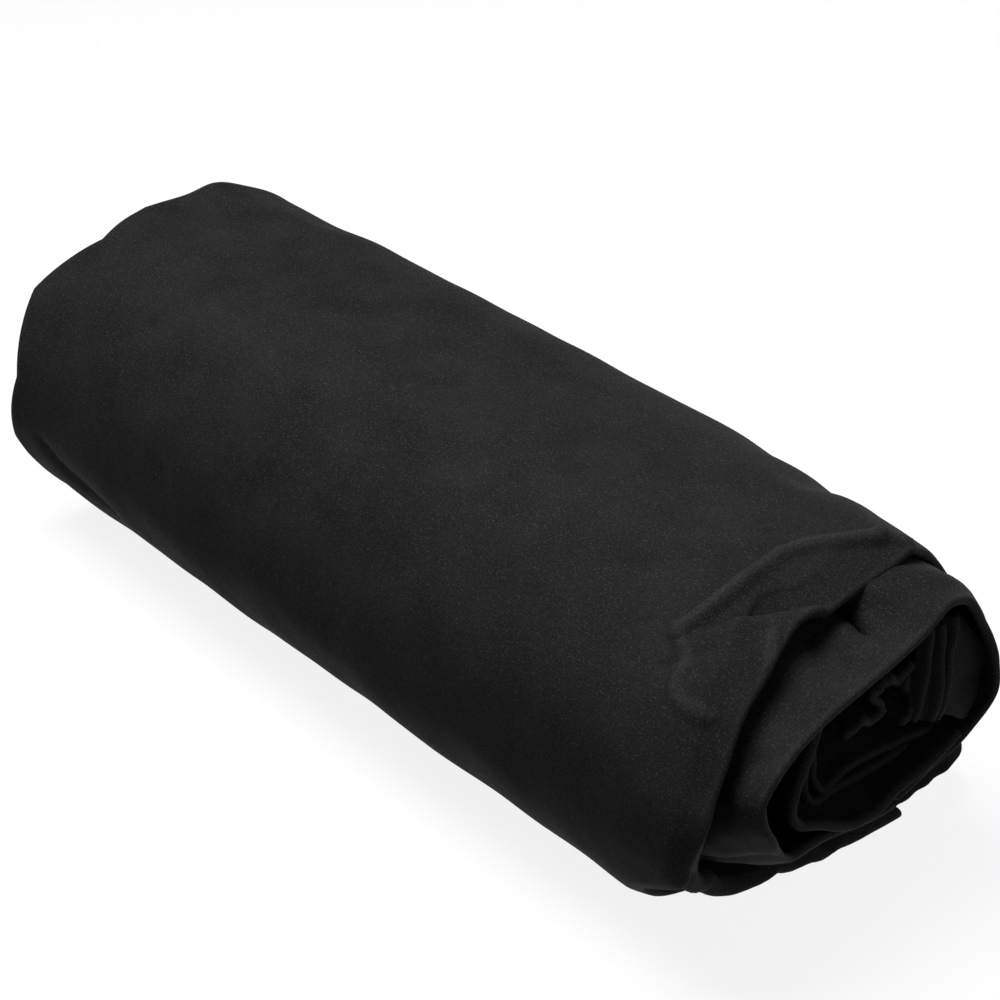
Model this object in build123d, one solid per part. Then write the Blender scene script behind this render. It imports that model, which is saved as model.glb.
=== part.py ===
"""Kayak spray skirt, put away: folded into a strip and rolled into a loose bolster.

The deck is folded into a C-shaped strip (sides turned in over the flattened waist tunnel) and
rolled from the bow.  Seen along the roll's axis from +X, with +Y to the right and +Z up, the strip
starts at the free end at the back, runs under the roll, up the -Y side, over the top and round
inwards for three turns, and ends in a doubled bow tongue at the core.

Frame: +X along the roll's axis, +Z up, roll lying on its flat underside, millimetres.
Each turn is a straight underside, a half circle up the front, a straight top and a smaller half
circle down the back, which brings the strip back to the inside of where the turn began.
"""
import os
from math import cos, pi, radians, sin, sqrt

from build123d import *

# ------------------------------------------------------------------ cloth and cord
DECK_PLY = 1.2          # coated nylon deck cloth as it lies, creases included
TUNNEL_PLY = 1.0        # waist tunnel cloth
WEBBING = 1.4           # suspender webbing thickness
PLY_GAP = 0.3           # air between cloths that lie on each other

RIM_CORD_DIA = 4.0      # shock cord that grips the cockpit rim
RIM_CORD_PLAY = 0.25    # radial play of the cord in its hem
RIM_HEM_WALL = 1.05     # doubled hem cloth round the cord
HEM_SEAM = 0.1          # parting of the hem cloth at its seam

# ------------------------------------------------------------------ strip and roll
STRIP_WIDTH = 357.0     # width of the folded strip, which is the roll's length
FLAT_WIDTH = 26.0       # flat underside and top of each turn
CORE_RADIUS = 9.0       # free radius inside the back of the innermost full turn
FULL_TURNS = 3
TURN_SHIFTS = (0.0, 16.5, 13.5, 9.5)   # how far each turn stands out past the outer one at +X
RIM_PARTING = 41.0      # distance between the two folded-in rims, centre to centre

# ------------------------------------------------------------------ free end and bow tongue
FLAP_LENGTH = 68.0      # free end, from its fold to the middle of its hem
FLAP_SLOPE = 9.5        # degrees that the free end stands up from the floor
FLAP_LIFT = 12.0        # degrees that it can be pressed up towards the roll
FLAP_CORNER = 20.0     # rounding of the free end's corners
FOLD_PLAY = 0.5         # gap across the fold that the free end turns on
RIM_TURN = 3.6          # radius of the rim where it goes round the strip's edge
RIM_CORNER = 11.0       # radius of the rim where it turns along the strip
TONGUE_LENGTH = 25.0    # straight end of the bow tongue, to the middle of its hem
TONGUE_CORNER = 14.0
TONGUE_GAP = 1.4        # between the rims that face each other inside the tongue's bend

# ------------------------------------------------------------------ waist tunnel and suspenders
TUNNEL_WIDTH = 300.0    # tunnel lying flat
WAIST_ELASTIC_WIDTH = 20.0
SEAM_TAPE_WIDTH = 14.0
STRAP_WIDTH = 25.0
STRAP_SPACING = 150.0   # between the two suspenders
STRAP_END = 20.0        # suspender end on the bow tongue
STRAP_PATCH = 40.0      # length of the reinforcement where a suspender is sewn on

# ------------------------------------------------------------------ ladder locks
LOCK_MARGIN = 3.5       # frame beside the webbing
LOCK_LENGTH = 13.0
LOCK_COVER = 1.1        # plate between the webbing and the tongue
LOCK_DEPTH = 2.8        # bars on the other side of the webbing
LOCK_SLOT_PLAY = 0.25
LOCK_WINDOW = 3.2       # each of the two slots between the bars

# ------------------------------------------------------------------ cord lock on the free end
CORD_EXIT_BEND = 6.0    # bend of the shock cord where it leaves the hem for the lock
CORD_SPACING = 4.2      # between the two cords inside the lock
CORD_LOCK_HEIGHT = 11.0     # along the cords
CORD_LOCK_DEPTH = 9.6       # through the flap's thickness
CORD_LOCK_WALL = 1.2
CORD_LOCK_BASE = 1.6        # closed end behind the spring
CORD_LOCK_LIP = 2.0         # body past the cords, round the plunger
CORD_HOLE_PLAY = 0.25
PLUNGER_PLAY = 0.3
PLUNGER_STANDOUT = 5.0
PLUNGER_TRAVEL = 2.8
PLUNGER_END_WALL = 1.4
SPRING_LENGTH = 6.2
SPRING_WIRE = 0.6
SPRING_DIA = 4.6
SPRING_TURNS = 4
END_STOP_GAP = 2.0          # bare cord between the lock and the stop
END_STOP_LENGTH = 7.0
END_STOP_WALL = 1.3
EDGE_ROUND = 0.8

# ------------------------------------------------------------------ grab loop
GRAB_WIDTH = 22.0
GRAB_SPAN = 28.0
GRAB_DROP = 13.0
GRAB_WEBBING = 1.5

# ------------------------------------------------------------------ worked out from the above
SEW_GAP = 0.05
TURN_GAP = 0.2
RIM_RADIUS = RIM_CORD_DIA / 2 + RIM_CORD_PLAY + RIM_HEM_WALL
FOLD_DEPTH = 2 * DECK_PLY + 2 * TUNNEL_PLY + WEBBING + 4 * PLY_GAP
TUNNEL_OUT = DECK_PLY + PLY_GAP                 # the tunnel's outer face, inwards from the strip's
TUNNEL_IN = FOLD_DEPTH - DECK_PLY - PLY_GAP
STRAP_OUT = TUNNEL_OUT + TUNNEL_PLY + PLY_GAP
LOW_RIM = RIM_RADIUS                            # rim lying on a single ply
HIGH_RIM = LOW_RIM + 2 * RIM_TURN               # rim lying on a folded-in side
STACK = HIGH_RIM + RIM_RADIUS
PITCH = STACK + TURN_GAP
HALF_FLAT = FLAT_WIDTH / 2
OUTER_RADIUS = CORE_RADIUS + STACK + PITCH / 2 + (FULL_TURNS - 1) * PITCH
TONGUE_RADIUS = (STACK + 2 * RIM_RADIUS + TONGUE_GAP) / 2
EDGE_SETBACK = sqrt(RIM_RADIUS**2 - (RIM_RADIUS - DECK_PLY) ** 2) + SEW_GAP
RIM_SIDE = RIM_PARTING / 2
CROSSING = RIM_TURN + 1.0                       # where the rim crosses to the side, from the fold
SIDE_START = CROSSING + RIM_RADIUS + PLY_GAP
BOW_CROSSING = RIM_CORNER + 1.5
SIDE_END = BOW_CROSSING - RIM_RADIUS - PLY_GAP


# ------------------------------------------------------------------ the strip's path
class Straight:
    """A flat stretch of the strip's outer face; the strip's inner side is on its right."""

    def __init__(self, start, heading, length):
        self.start, self.heading, self.length = start, radians(heading), length

    def place(self, x, inward, along=0.0):
        """The point at x across the roll, this far inwards and this far along."""
        y, z = self.start
        return (
            x,
            y + along * cos(self.heading) + inward * sin(self.heading),
            z + along * sin(self.heading) - inward * cos(self.heading),
        )

    def carry(self, face):
        """The solid that a face across the strip sweeps along the whole stretch."""
        return extrude(face, self.length, dir=(0, cos(self.heading), sin(self.heading)))

    def part(self, first, last):
        """The stretch between two distances along this one."""
        start = self.place(0, 0, first)[1:]
        return Straight(start, self.heading * 180 / pi, last - first)


class Bend:
    """A round stretch of the strip's outer face, turning clockwise seen from +X."""

    def __init__(self, centre, radius, start, turn):
        self.centre, self.radius, self.start, self.turn = centre, radius, start, turn

    def place(self, x, inward, share=0.0):
        """The point at x across the roll, this far inwards and at this share of the turn."""
        angle = radians(self.start - share * self.turn)
        reach = self.radius - inward
        return (x, self.centre[0] + reach * cos(angle), self.centre[1] + reach * sin(angle))

    def carry(self, face):
        """The solid that a face across the strip sweeps round the whole bend."""
        return revolve(face, Axis((0, *self.centre), (-1, 0, 0)), revolution_arc=self.turn)


def full_turn(turn):
    """The underside, front, top and back of one turn, counted from the outside."""
    front = OUTER_RADIUS - turn * PITCH
    return [
        Straight((HALF_FLAT, turn * PITCH), 180, FLAT_WIDTH),
        Bend((-HALF_FLAT, OUTER_RADIUS), front, 270, 180),
        Straight((-HALF_FLAT, OUTER_RADIUS + front), 0, FLAT_WIDTH),
        Bend((HALF_FLAT, OUTER_RADIUS + PITCH / 2), front - PITCH / 2, 90, 180),
    ]


TURNS = [full_turn(turn) for turn in range(FULL_TURNS)]
BOW_FLAT = Straight((HALF_FLAT, FULL_TURNS * PITCH), 180, FLAT_WIDTH)
BOW_BEND = Bend((-HALF_FLAT, FULL_TURNS * PITCH + TONGUE_RADIUS), TONGUE_RADIUS, 270, 180)
BOW_END = Straight((-HALF_FLAT, FULL_TURNS * PITCH + 2 * TONGUE_RADIUS), 0, TONGUE_LENGTH)

# The free end is described from its hem towards the fold that it turns on.
HINGE_Y = HALF_FLAT + FOLD_PLAY
FLAP = Straight(
    (
        HINGE_Y + FLAP_LENGTH * cos(radians(FLAP_SLOPE)),
        FLAP_LENGTH * sin(radians(FLAP_SLOPE)),
    ),
    180 + FLAP_SLOPE,
    FLAP_LENGTH,
)


def edges_of(turn):
    """Lowest and highest x of the strip in one turn."""
    middle = TURN_SHIFTS[turn]
    return middle - STRIP_WIDTH / 2, middle + STRIP_WIDTH / 2


# ------------------------------------------------------------------ faces across the strip
def face_from(place, runs):
    """A face from runs of flat points, put in space by place: two make a line, three an arc."""
    edges = []
    for run in runs:
        points = [place(*point) for point in run]
        edges.append(Line(*points) if len(run) == 2 else ThreePointArc(*points))
    return make_face(edges)


def face_across(leg, *runs):
    """A face across the strip from runs of (x, inward) points."""
    return face_from(leg.place, runs)


def flat_band(leg, low_x, high_x, out, inner):
    """A flat ply between two depths."""
    a, b, c, d = (low_x, out), (high_x, out), (high_x, inner), (low_x, inner)
    return face_across(leg, (a, b), (b, c), (c, d), (d, a))


def folded_band(leg, low_x, high_x):
    """The deck with both sides folded over, open between the two rims."""
    depth, ply, rim = FOLD_DEPTH, DECK_PLY, RIM_SIDE
    round_ = depth / 2
    low, high = low_x + round_, high_x - round_
    return face_across(
        leg,
        ((low, 0), (high, 0)),
        ((high, 0), (high_x, round_), (high, depth)),
        ((high, depth), (rim, depth)),
        ((rim, depth), (rim, depth - ply)),
        ((rim, depth - ply), (high, depth - ply)),
        ((high, depth - ply), (high_x - ply, round_), (high, ply)),
        ((high, ply), (low, ply)),
        ((low, ply), (low_x + ply, round_), (low, depth - ply)),
        ((low, depth - ply), (-rim, depth - ply)),
        ((-rim, depth - ply), (-rim, depth)),
        ((-rim, depth), (low, depth)),
        ((low, depth), (low_x, round_), (low, 0)),
    )


def stadium(leg, low_x, high_x, out, inner):
    """A face with rounded ends that fills the flattened tunnel."""
    round_ = (inner - out) / 2
    middle = (inner + out) / 2
    low, high = low_x + round_, high_x - round_
    return face_across(
        leg,
        ((low, out), (high, out)),
        ((high, out), (high_x, middle), (high, inner)),
        ((high, inner), (low, inner)),
        ((low, inner), (low_x, middle), (low, out)),
    )


def flattened_tube(leg, thickness):
    """The tunnel's wall, lying flat inside the folded deck."""
    middle = TURN_SHIFTS[1]
    low_x, high_x = middle - TUNNEL_WIDTH / 2, middle + TUNNEL_WIDTH / 2
    outside = stadium(leg, low_x, high_x, TUNNEL_OUT, TUNNEL_IN)
    inside = stadium(
        leg, low_x + thickness, high_x - thickness, TUNNEL_OUT + thickness, TUNNEL_IN - thickness
    )
    return outside - inside


def along(legs, section):
    """One solid from a section carried along several stretches."""
    solids = [leg.carry(section(leg)) for leg in legs]
    joined = solids[0]
    for solid in solids[1:]:
        joined = joined + solid
    return joined


# ------------------------------------------------------------------ deck
def single_ply(leg, turn):
    """The deck where its sides aren't folded over: one ply between the two rims."""
    low_x, high_x = edges_of(turn)
    inset = RIM_RADIUS + EDGE_SETBACK
    return flat_band(leg, low_x + inset, high_x - inset, 0, DECK_PLY)


def rounded_ply(place, turn, length, corner):
    """The outline of one ply inside a rim with rounded corners, placed by x and distance out."""
    low_x, high_x = edges_of(turn)
    inset = RIM_RADIUS + EDGE_SETBACK
    low, high, far = low_x + inset, high_x - inset, length - EDGE_SETBACK
    round_ = corner - EDGE_SETBACK
    chord = round_ * (1 - sin(pi / 4))
    runs = [
        [(low, 0), (high, 0)],
        [(high, 0), (high, far - round_)],
        [(high, far - round_), (high - chord, far - chord), (high - round_, far)],
        [(high - round_, far), (low + round_, far)],
        [(low + round_, far), (low + chord, far - chord), (low, far - round_)],
        [(low, far - round_), (low, 0)],
    ]
    return face_from(place, runs)


def make_deck():
    """The rolled deck, from the fold of its free end to its doubled bow tongue."""
    deck = along([TURNS[0][0].part(0, SIDE_START)], lambda leg: single_ply(leg, 0))
    for turn, legs in enumerate(TURNS):
        if turn == 0:
            legs = [legs[0].part(SIDE_START, FLAT_WIDTH), *legs[1:]]
        deck = deck + along(legs, lambda leg: folded_band(leg, *edges_of(turn)))
    last = FULL_TURNS
    deck = deck + along([BOW_FLAT.part(0, SIDE_END)], lambda leg: folded_band(leg, *edges_of(last)))
    tongue = [BOW_FLAT.part(SIDE_END, FLAT_WIDTH), BOW_BEND]
    deck = deck + along(tongue, lambda leg: single_ply(leg, last))
    end = rounded_ply(lambda x, out: BOW_END.place(x, 0, out), last, TONGUE_LENGTH, TONGUE_CORNER)
    return deck + extrude(end, DECK_PLY, dir=(0, 0, -1))


# ------------------------------------------------------------------ rim
class Route:
    """A cord's centre line, made of straight runs and tangent arcs."""

    def __init__(self, point, heading):
        self.start, self.first_heading = Vector(*point), Vector(*heading)
        self.point, self.heading = self.start, self.first_heading
        self.edges = []

    def go(self, length):
        """Straight on."""
        end = self.point + self.heading * length
        self.edges.append(Line(self.point, end))
        self.point = end

    def go_to_x(self, x):
        """Straight on along X as far as x."""
        self.go(abs(x - self.point.X))

    def quarter(self, heading, radius):
        """A quarter turn into another heading."""
        heading = Vector(*heading)
        end = self.point + (self.heading + heading) * radius
        share = sin(pi / 4)
        middle = self.point + self.heading * (radius * share) + heading * (radius * (1 - share))
        self.edges.append(ThreePointArc(self.point, middle, end))
        self.point, self.heading = end, heading

    def follow(self, bend, inward):
        """Round a bend of the strip, at this depth."""
        x = self.point.X
        start, middle, end = (Vector(*bend.place(x, inward, share)) for share in (0, 0.5, 1))
        self.edges.append(ThreePointArc(start, middle, end))
        angle = radians(bend.start - bend.turn)
        self.point, self.heading = end, Vector(0, sin(angle), -cos(angle))


def roll_rim(side):
    """The rim of one side of the rolled deck (side 1 is +X), as far as the middle of the bow."""
    up, down, back, forth = (0, 0, 1), (0, 0, -1), (0, -1, 0), (0, 1, 0)
    outwards, inwards = (side, 0, 0), (-side, 0, 0)
    edge = edges_of(0)[(side + 1) // 2] - side * RIM_RADIUS
    bow_edge = edges_of(FULL_TURNS)[(side + 1) // 2] - side * RIM_RADIUS
    rim = Route((edge, HALF_FLAT, LOW_RIM), back)
    rim.go(CROSSING - RIM_TURN)
    rim.quarter(up, RIM_TURN)
    rim.quarter(inwards, RIM_TURN)
    rim.go_to_x(side * (RIM_SIDE + RIM_CORNER))
    rim.quarter(back, RIM_CORNER)
    rim.go(FLAT_WIDTH - CROSSING - RIM_CORNER)
    for turn, legs in enumerate(TURNS):
        if turn > 0:
            rim.go(FLAT_WIDTH)
        rim.follow(legs[1], HIGH_RIM)
        rim.go(FLAT_WIDTH)
        rim.follow(legs[3], HIGH_RIM)
    rim.go(BOW_CROSSING - RIM_CORNER)
    rim.quarter(outwards, RIM_CORNER)
    rim.go_to_x(bow_edge - side * RIM_TURN)
    rim.quarter(down, RIM_TURN)
    rim.quarter(back, RIM_TURN)
    rim.go(FLAT_WIDTH - BOW_CROSSING - RIM_TURN)
    rim.follow(BOW_BEND, LOW_RIM)
    rim.go(TONGUE_LENGTH - TONGUE_CORNER)
    rim.quarter(inwards, TONGUE_CORNER)
    rim.go_to_x(TURN_SHIFTS[FULL_TURNS])
    return rim


def tube(edges, start, heading, radius, bore=0.0):
    """A round cord, or a hem round one whose edges nearly meet at its seam, along a centre line."""
    section = Circle(radius)
    if bore:
        section = section - Circle(bore) - Pos(radius / 2, 0) * Rectangle(radius, HEM_SEAM)
    return sweep(Plane(origin=start, z_dir=heading) * section, path=Wire(edges))


def make_roll_rim(radius, bore=0.0):
    """The rim of the rolled deck, whole from one edge of the fold to the other."""
    near, far = roll_rim(1), roll_rim(-1)
    return tube([*near.edges, *far.edges], near.start, near.first_heading, radius, bore)


# ------------------------------------------------------------------ waist tunnel and suspenders
def make_tunnel():
    """The waist tunnel, flat between the deck and its folded-in sides."""
    top, back = TURNS[1][2:]
    flat, front = TURNS[2][:2]
    wall = [top, back, flat, shortened(front, WAIST_ELASTIC_WIDTH)]
    return along(wall, lambda leg: flattened_tube(leg, TUNNEL_PLY))


def shortened(bend, length):
    """The bend without this length at its end, measured in the middle of the fold."""
    turn = length / (bend.radius - FOLD_DEPTH / 2) * 180 / pi
    return Bend(bend.centre, bend.radius, bend.start, bend.turn - turn)


def end_of(bend, length):
    """Only this length at the bend's end, measured in the middle of the fold."""
    turn = length / (bend.radius - FOLD_DEPTH / 2) * 180 / pi
    return Bend(bend.centre, bend.radius, bend.start - bend.turn + turn, turn)


def make_waist_elastic():
    """The elastic at the tunnel's upper end."""
    return along([end_of(TURNS[2][1], WAIST_ELASTIC_WIDTH)], lambda leg: flattened_tube(leg, TUNNEL_PLY))


def make_seam_tape():
    """The tape over the seam between deck and tunnel, in the air between the two cloths."""
    middle = TURN_SHIFTS[1]
    half = TUNNEL_WIDTH / 2 - FOLD_DEPTH
    return along(
        [TURNS[1][2].part(0, SEAM_TAPE_WIDTH)],
        lambda leg: flat_band(
            leg, middle - half, middle + half, DECK_PLY + SEW_GAP, TUNNEL_OUT - SEW_GAP
        ),
    )


def make_suspender(side):
    """A suspender, tucked into the tunnel and led on to the bow tongue."""
    middle = TURN_SHIFTS[FULL_TURNS] + side * STRAP_SPACING / 2
    legs = [*TURNS[1][2:], *TURNS[2], BOW_FLAT, BOW_BEND, BOW_END.part(0, STRAP_END)]
    low_x, high_x = middle - STRAP_WIDTH / 2, middle + STRAP_WIDTH / 2
    return along(legs, lambda leg: flat_band(leg, low_x, high_x, STRAP_OUT, STRAP_OUT + WEBBING))


def make_strap_patches():
    """The reinforcements inside the tunnel where the suspenders are sewn on."""
    patches = []
    leg = end_of(shortened(TURNS[2][1], WAIST_ELASTIC_WIDTH), STRAP_PATCH / 2)
    for side in (-1, 1):
        middle = TURN_SHIFTS[FULL_TURNS] + side * STRAP_SPACING / 2
        half = STRAP_WIDTH / 2 + LOCK_MARGIN
        band = flat_band(leg, middle - half, middle + half, STRAP_OUT - PLY_GAP, STRAP_OUT)
        patches.append(leg.carry(band))
    return Compound(children=patches)


def make_ladder_lock(side):
    """A ladder lock on a suspender: a frame with a cover plate, two side rails and three bars."""
    middle = TURN_SHIFTS[FULL_TURNS] + side * STRAP_SPACING / 2
    start = (STRAP_END - LOCK_LENGTH) / 2
    leg = BOW_END.part(start, start + LOCK_LENGTH)
    half = STRAP_WIDTH / 2 + LOCK_MARGIN
    slot = STRAP_WIDTH / 2 + LOCK_SLOT_PLAY
    top = STRAP_OUT - LOCK_SLOT_PLAY - LOCK_COVER
    bars = STRAP_OUT + WEBBING + LOCK_SLOT_PLAY
    frame = leg.carry(flat_band(leg, middle - half, middle + half, top, bars + LOCK_DEPTH))
    frame = frame - leg.carry(
        flat_band(leg, middle - slot, middle + slot, STRAP_OUT - LOCK_SLOT_PLAY, bars)
    )
    bar = (LOCK_LENGTH - 2 * LOCK_WINDOW) / 3
    for window in range(2):
        first = start + bar + window * (bar + LOCK_WINDOW)
        gap = BOW_END.part(first, first + LOCK_WINDOW)
        frame = frame - gap.carry(
            flat_band(gap, middle - slot, middle + slot, bars - LOCK_SLOT_PLAY, bars + LOCK_DEPTH)
        )
    return frame


# ------------------------------------------------------------------ grab loop
def make_grab_loop():
    """The webbing loop sewn under the bow tongue."""
    leg = BOW_END.part(TONGUE_LENGTH - TONGUE_CORNER - GRAB_WIDTH / 2, TONGUE_LENGTH - TONGUE_CORNER)
    top = DECK_PLY + PLY_GAP
    half = GRAB_SPAN / 2
    outside = stadium(leg, -half, half, top, top + GRAB_DROP)
    inside = stadium(
        leg, -half + GRAB_WEBBING, half - GRAB_WEBBING, top + GRAB_WEBBING, top + GRAB_DROP - GRAB_WEBBING
    )
    return leg.carry(outside - inside)


# ------------------------------------------------------------------ free end
FLAP_OUTWARDS = (0, cos(radians(FLAP_SLOPE)), sin(radians(FLAP_SLOPE)))
FLAP_NORMAL = (0, -sin(radians(FLAP_SLOPE)), cos(radians(FLAP_SLOPE)))
LOCK_GAP = 0.5                                  # between the hem's cord bend and the lock
LOCK_OUT = FLAP_LENGTH + CORD_EXIT_BEND + LOCK_GAP
CORDS_HALF = CORD_SPACING / 2 + RIM_CORD_DIA / 2
PLUNGER_LOW = -CORDS_HALF - SEW_GAP - PLUNGER_END_WALL
SPRING_LOW = PLUNGER_LOW - SPRING_LENGTH
LOCK_LOW = SPRING_LOW - CORD_LOCK_BASE
LOCK_HIGH = CORDS_HALF + CORD_HOLE_PLAY + CORD_LOCK_LIP


def on_flap(x, out, inward=0.0):
    """The point on the free end at this distance out from its fold."""
    return FLAP.place(x, inward, FLAP_LENGTH - out)


def make_flap():
    """The free end of the deck: one ply with rounded corners."""
    return extrude(rounded_ply(on_flap, 0, FLAP_LENGTH, FLAP_CORNER), DECK_PLY, dir=FLAP_NORMAL)


def flap_rim(side, last_x):
    """One side of the free end's rim, from the fold round the corner to last_x on the hem."""
    start = 2 * RIM_RADIUS * sin(radians(FLAP_SLOPE + FLAP_LIFT)) + FOLD_PLAY
    edge = edges_of(0)[(side + 1) // 2] - side * RIM_RADIUS
    rim = Route(on_flap(edge, start, LOW_RIM), FLAP_OUTWARDS)
    rim.go(FLAP_LENGTH - start - FLAP_CORNER)
    rim.quarter((-side, 0, 0), FLAP_CORNER)
    rim.go_to_x(side * last_x)
    return rim


def make_flap_hem():
    """The free end's hem, open in the middle where the cord comes out to its lock."""
    halves = []
    for side in (-1, 1):
        rim = flap_rim(side, CORD_SPACING / 2 + CORD_EXIT_BEND)
        bore = RIM_RADIUS - RIM_HEM_WALL
        halves.append(tube(rim.edges, rim.start, rim.first_heading, RIM_RADIUS, bore))
    return Compound(children=halves)


def make_flap_cord():
    """The two halves of the shock cord in the free end, led side by side through the cord lock."""
    halves = []
    for side in (-1, 1):
        rim = flap_rim(side, CORD_SPACING / 2 + CORD_EXIT_BEND)
        rim.quarter(FLAP_OUTWARDS, CORD_EXIT_BEND)
        rim.go(LOCK_GAP + CORD_LOCK_HEIGHT + END_STOP_GAP + END_STOP_LENGTH - END_STOP_WALL)
        halves.append(tube(rim.edges, rim.start, rim.first_heading, RIM_CORD_DIA / 2))
    return Compound(children=halves)


# ------------------------------------------------------------------ cord lock
def lock_block(low_x, high_x, out, height, depth):
    """A block in the cord lock's own directions, centred on the cords through the thickness."""
    origin = on_flap((low_x + high_x) / 2, out + height / 2, LOW_RIM)
    plane = Plane(origin=origin, x_dir=(1, 0, 0), z_dir=FLAP_OUTWARDS)
    return plane * Box(high_x - low_x, depth, height)


def make_cord_lock_body():
    """The barrel of the cord lock, open at +X, with a hole for both cords."""
    body = lock_block(LOCK_LOW, LOCK_HIGH, LOCK_OUT, CORD_LOCK_HEIGHT, CORD_LOCK_DEPTH)
    body = fillet(body.edges().filter_by(Axis.X), 3 * EDGE_ROUND)
    body = fillet(body.edges().filter_by(Plane.YZ), EDGE_ROUND / 2)
    wall = 2 * CORD_LOCK_WALL
    cavity = lock_block(
        LOCK_LOW + CORD_LOCK_BASE,
        LOCK_HIGH + EDGE_ROUND,
        LOCK_OUT + CORD_LOCK_WALL,
        CORD_LOCK_HEIGHT - wall,
        CORD_LOCK_DEPTH - wall,
    )
    hole = lock_block(
        -CORDS_HALF - CORD_HOLE_PLAY,
        CORDS_HALF + CORD_HOLE_PLAY,
        LOCK_OUT - EDGE_ROUND,
        CORD_LOCK_HEIGHT + 2 * EDGE_ROUND,
        RIM_CORD_DIA + 2 * CORD_HOLE_PLAY,
    )
    return body - cavity - hole


def make_cord_lock_plunger():
    """The plunger, with a slot that lets go of the cords when it is pressed."""
    inset = CORD_LOCK_WALL + PLUNGER_PLAY
    height, depth = CORD_LOCK_HEIGHT - 2 * inset, CORD_LOCK_DEPTH - 2 * inset
    plunger = lock_block(PLUNGER_LOW, LOCK_HIGH + PLUNGER_STANDOUT, LOCK_OUT + inset, height, depth)
    plunger = fillet(plunger.edges().group_by(Axis.X)[-1], EDGE_ROUND)
    slot = lock_block(
        -CORDS_HALF - SEW_GAP,
        CORDS_HALF + PLUNGER_TRAVEL + CORD_HOLE_PLAY,
        LOCK_OUT,
        CORD_LOCK_HEIGHT,
        RIM_CORD_DIA + CORD_HOLE_PLAY,
    )
    return plunger - slot


def make_cord_lock_spring():
    """The coil spring between the barrel's closed end and the plunger."""
    rise = SPRING_LENGTH - SPRING_WIRE
    origin = on_flap(SPRING_LOW + SPRING_WIRE / 2, LOCK_OUT + CORD_LOCK_HEIGHT / 2, LOW_RIM)
    plane = Plane(origin=origin, x_dir=FLAP_OUTWARDS, z_dir=(1, 0, 0))
    coil = plane * Helix(rise / SPRING_TURNS, rise, (SPRING_DIA - SPRING_WIRE) / 2)
    section = Plane(origin=coil @ 0, z_dir=coil % 0) * Circle(SPRING_WIRE / 2)
    return sweep(section, path=coil, is_frenet=True)


def make_cord_end_stop():
    """The moulded stop that holds both cord ends past the lock."""
    half = CORDS_HALF + END_STOP_WALL
    out = LOCK_OUT + CORD_LOCK_HEIGHT + END_STOP_GAP
    stop = lock_block(-half, half, out, END_STOP_LENGTH, RIM_CORD_DIA + 2 * END_STOP_WALL)
    stop = fillet(stop.edges(), EDGE_ROUND)
    for side in (-1, 1):
        middle = on_flap(side * CORD_SPACING / 2, out, LOW_RIM)
        bore = Plane(origin=middle, z_dir=FLAP_OUTWARDS) * Circle(RIM_CORD_DIA / 2)
        stop = stop - extrude(bore, END_STOP_LENGTH - END_STOP_WALL, dir=FLAP_OUTWARDS)
    return stop


# ------------------------------------------------------------------ assembly
def write_parts(parts):
    """Stand the whole object on the origin and write one file for each piece."""
    boxes = [solid.bounding_box() for solid in parts.values()]
    low = [min(getattr(box.min, axis) for box in boxes) for axis in "XYZ"]
    high = [max(getattr(box.max, axis) for box in boxes) for axis in "XYZ"]
    shift = Pos(-(low[0] + high[0]) / 2, -(low[1] + high[1]) / 2, -low[2])
    os.makedirs("parts", exist_ok=True)
    for name, solid in parts.items():
        export_step(shift * solid, f"parts/{name}.step")
        print(f"{name:22} {solid.volume / 1000:8.2f} cm3")
    print("size", *(round(end - start, 2) for start, end in zip(low, high)))
    turning = shift.position + Vector(0, HINGE_Y, DECK_PLY / 2)
    print(f"free end turns about y {turning.Y:.3f}, z {turning.Z:.3f}")


def make_parts():
    """Every piece, by name."""
    bore = RIM_RADIUS - RIM_HEM_WALL
    return {
        "deck_panel": make_deck(),
        "rim_hem": make_roll_rim(RIM_RADIUS, bore),
        "rim_shock_cord": make_roll_rim(RIM_CORD_DIA / 2),
        "waist_tunnel": make_tunnel(),
        "waist_elastic": make_waist_elastic(),
        "tunnel_seam_tape": make_seam_tape(),
        "suspender_left": make_suspender(-1),
        "suspender_right": make_suspender(1),
        "suspender_patches": make_strap_patches(),
        "ladder_lock_left": make_ladder_lock(-1),
        "ladder_lock_right": make_ladder_lock(1),
        "grab_loop": make_grab_loop(),
        "deck_flap": make_flap(),
        "flap_rim_hem": make_flap_hem(),
        "flap_shock_cord": make_flap_cord(),
        "cord_lock_body": make_cord_lock_body(),
        "cord_lock_plunger": make_cord_lock_plunger(),
        "cord_lock_spring": make_cord_lock_spring(),
        "cord_end_stop": make_cord_end_stop(),
    }


write_parts(make_parts())
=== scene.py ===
"""Kayak spray skirt, folded into a strip and rolled into a loose bolster: the looks of its pieces.

Lengths in the classes are millimetres in the roll's own directions: along the roll from its middle
(+ towards the open end), across it (- towards the front) and height above the floor.  Angles round
the roll are degrees from its underside, over the front, 180 on top.
"""
from __future__ import annotations

import logging
import math
from dataclasses import dataclass, field
from enum import Enum

import bmesh
import bpy
import numpy as np
from mathutils import Matrix, Vector

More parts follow.
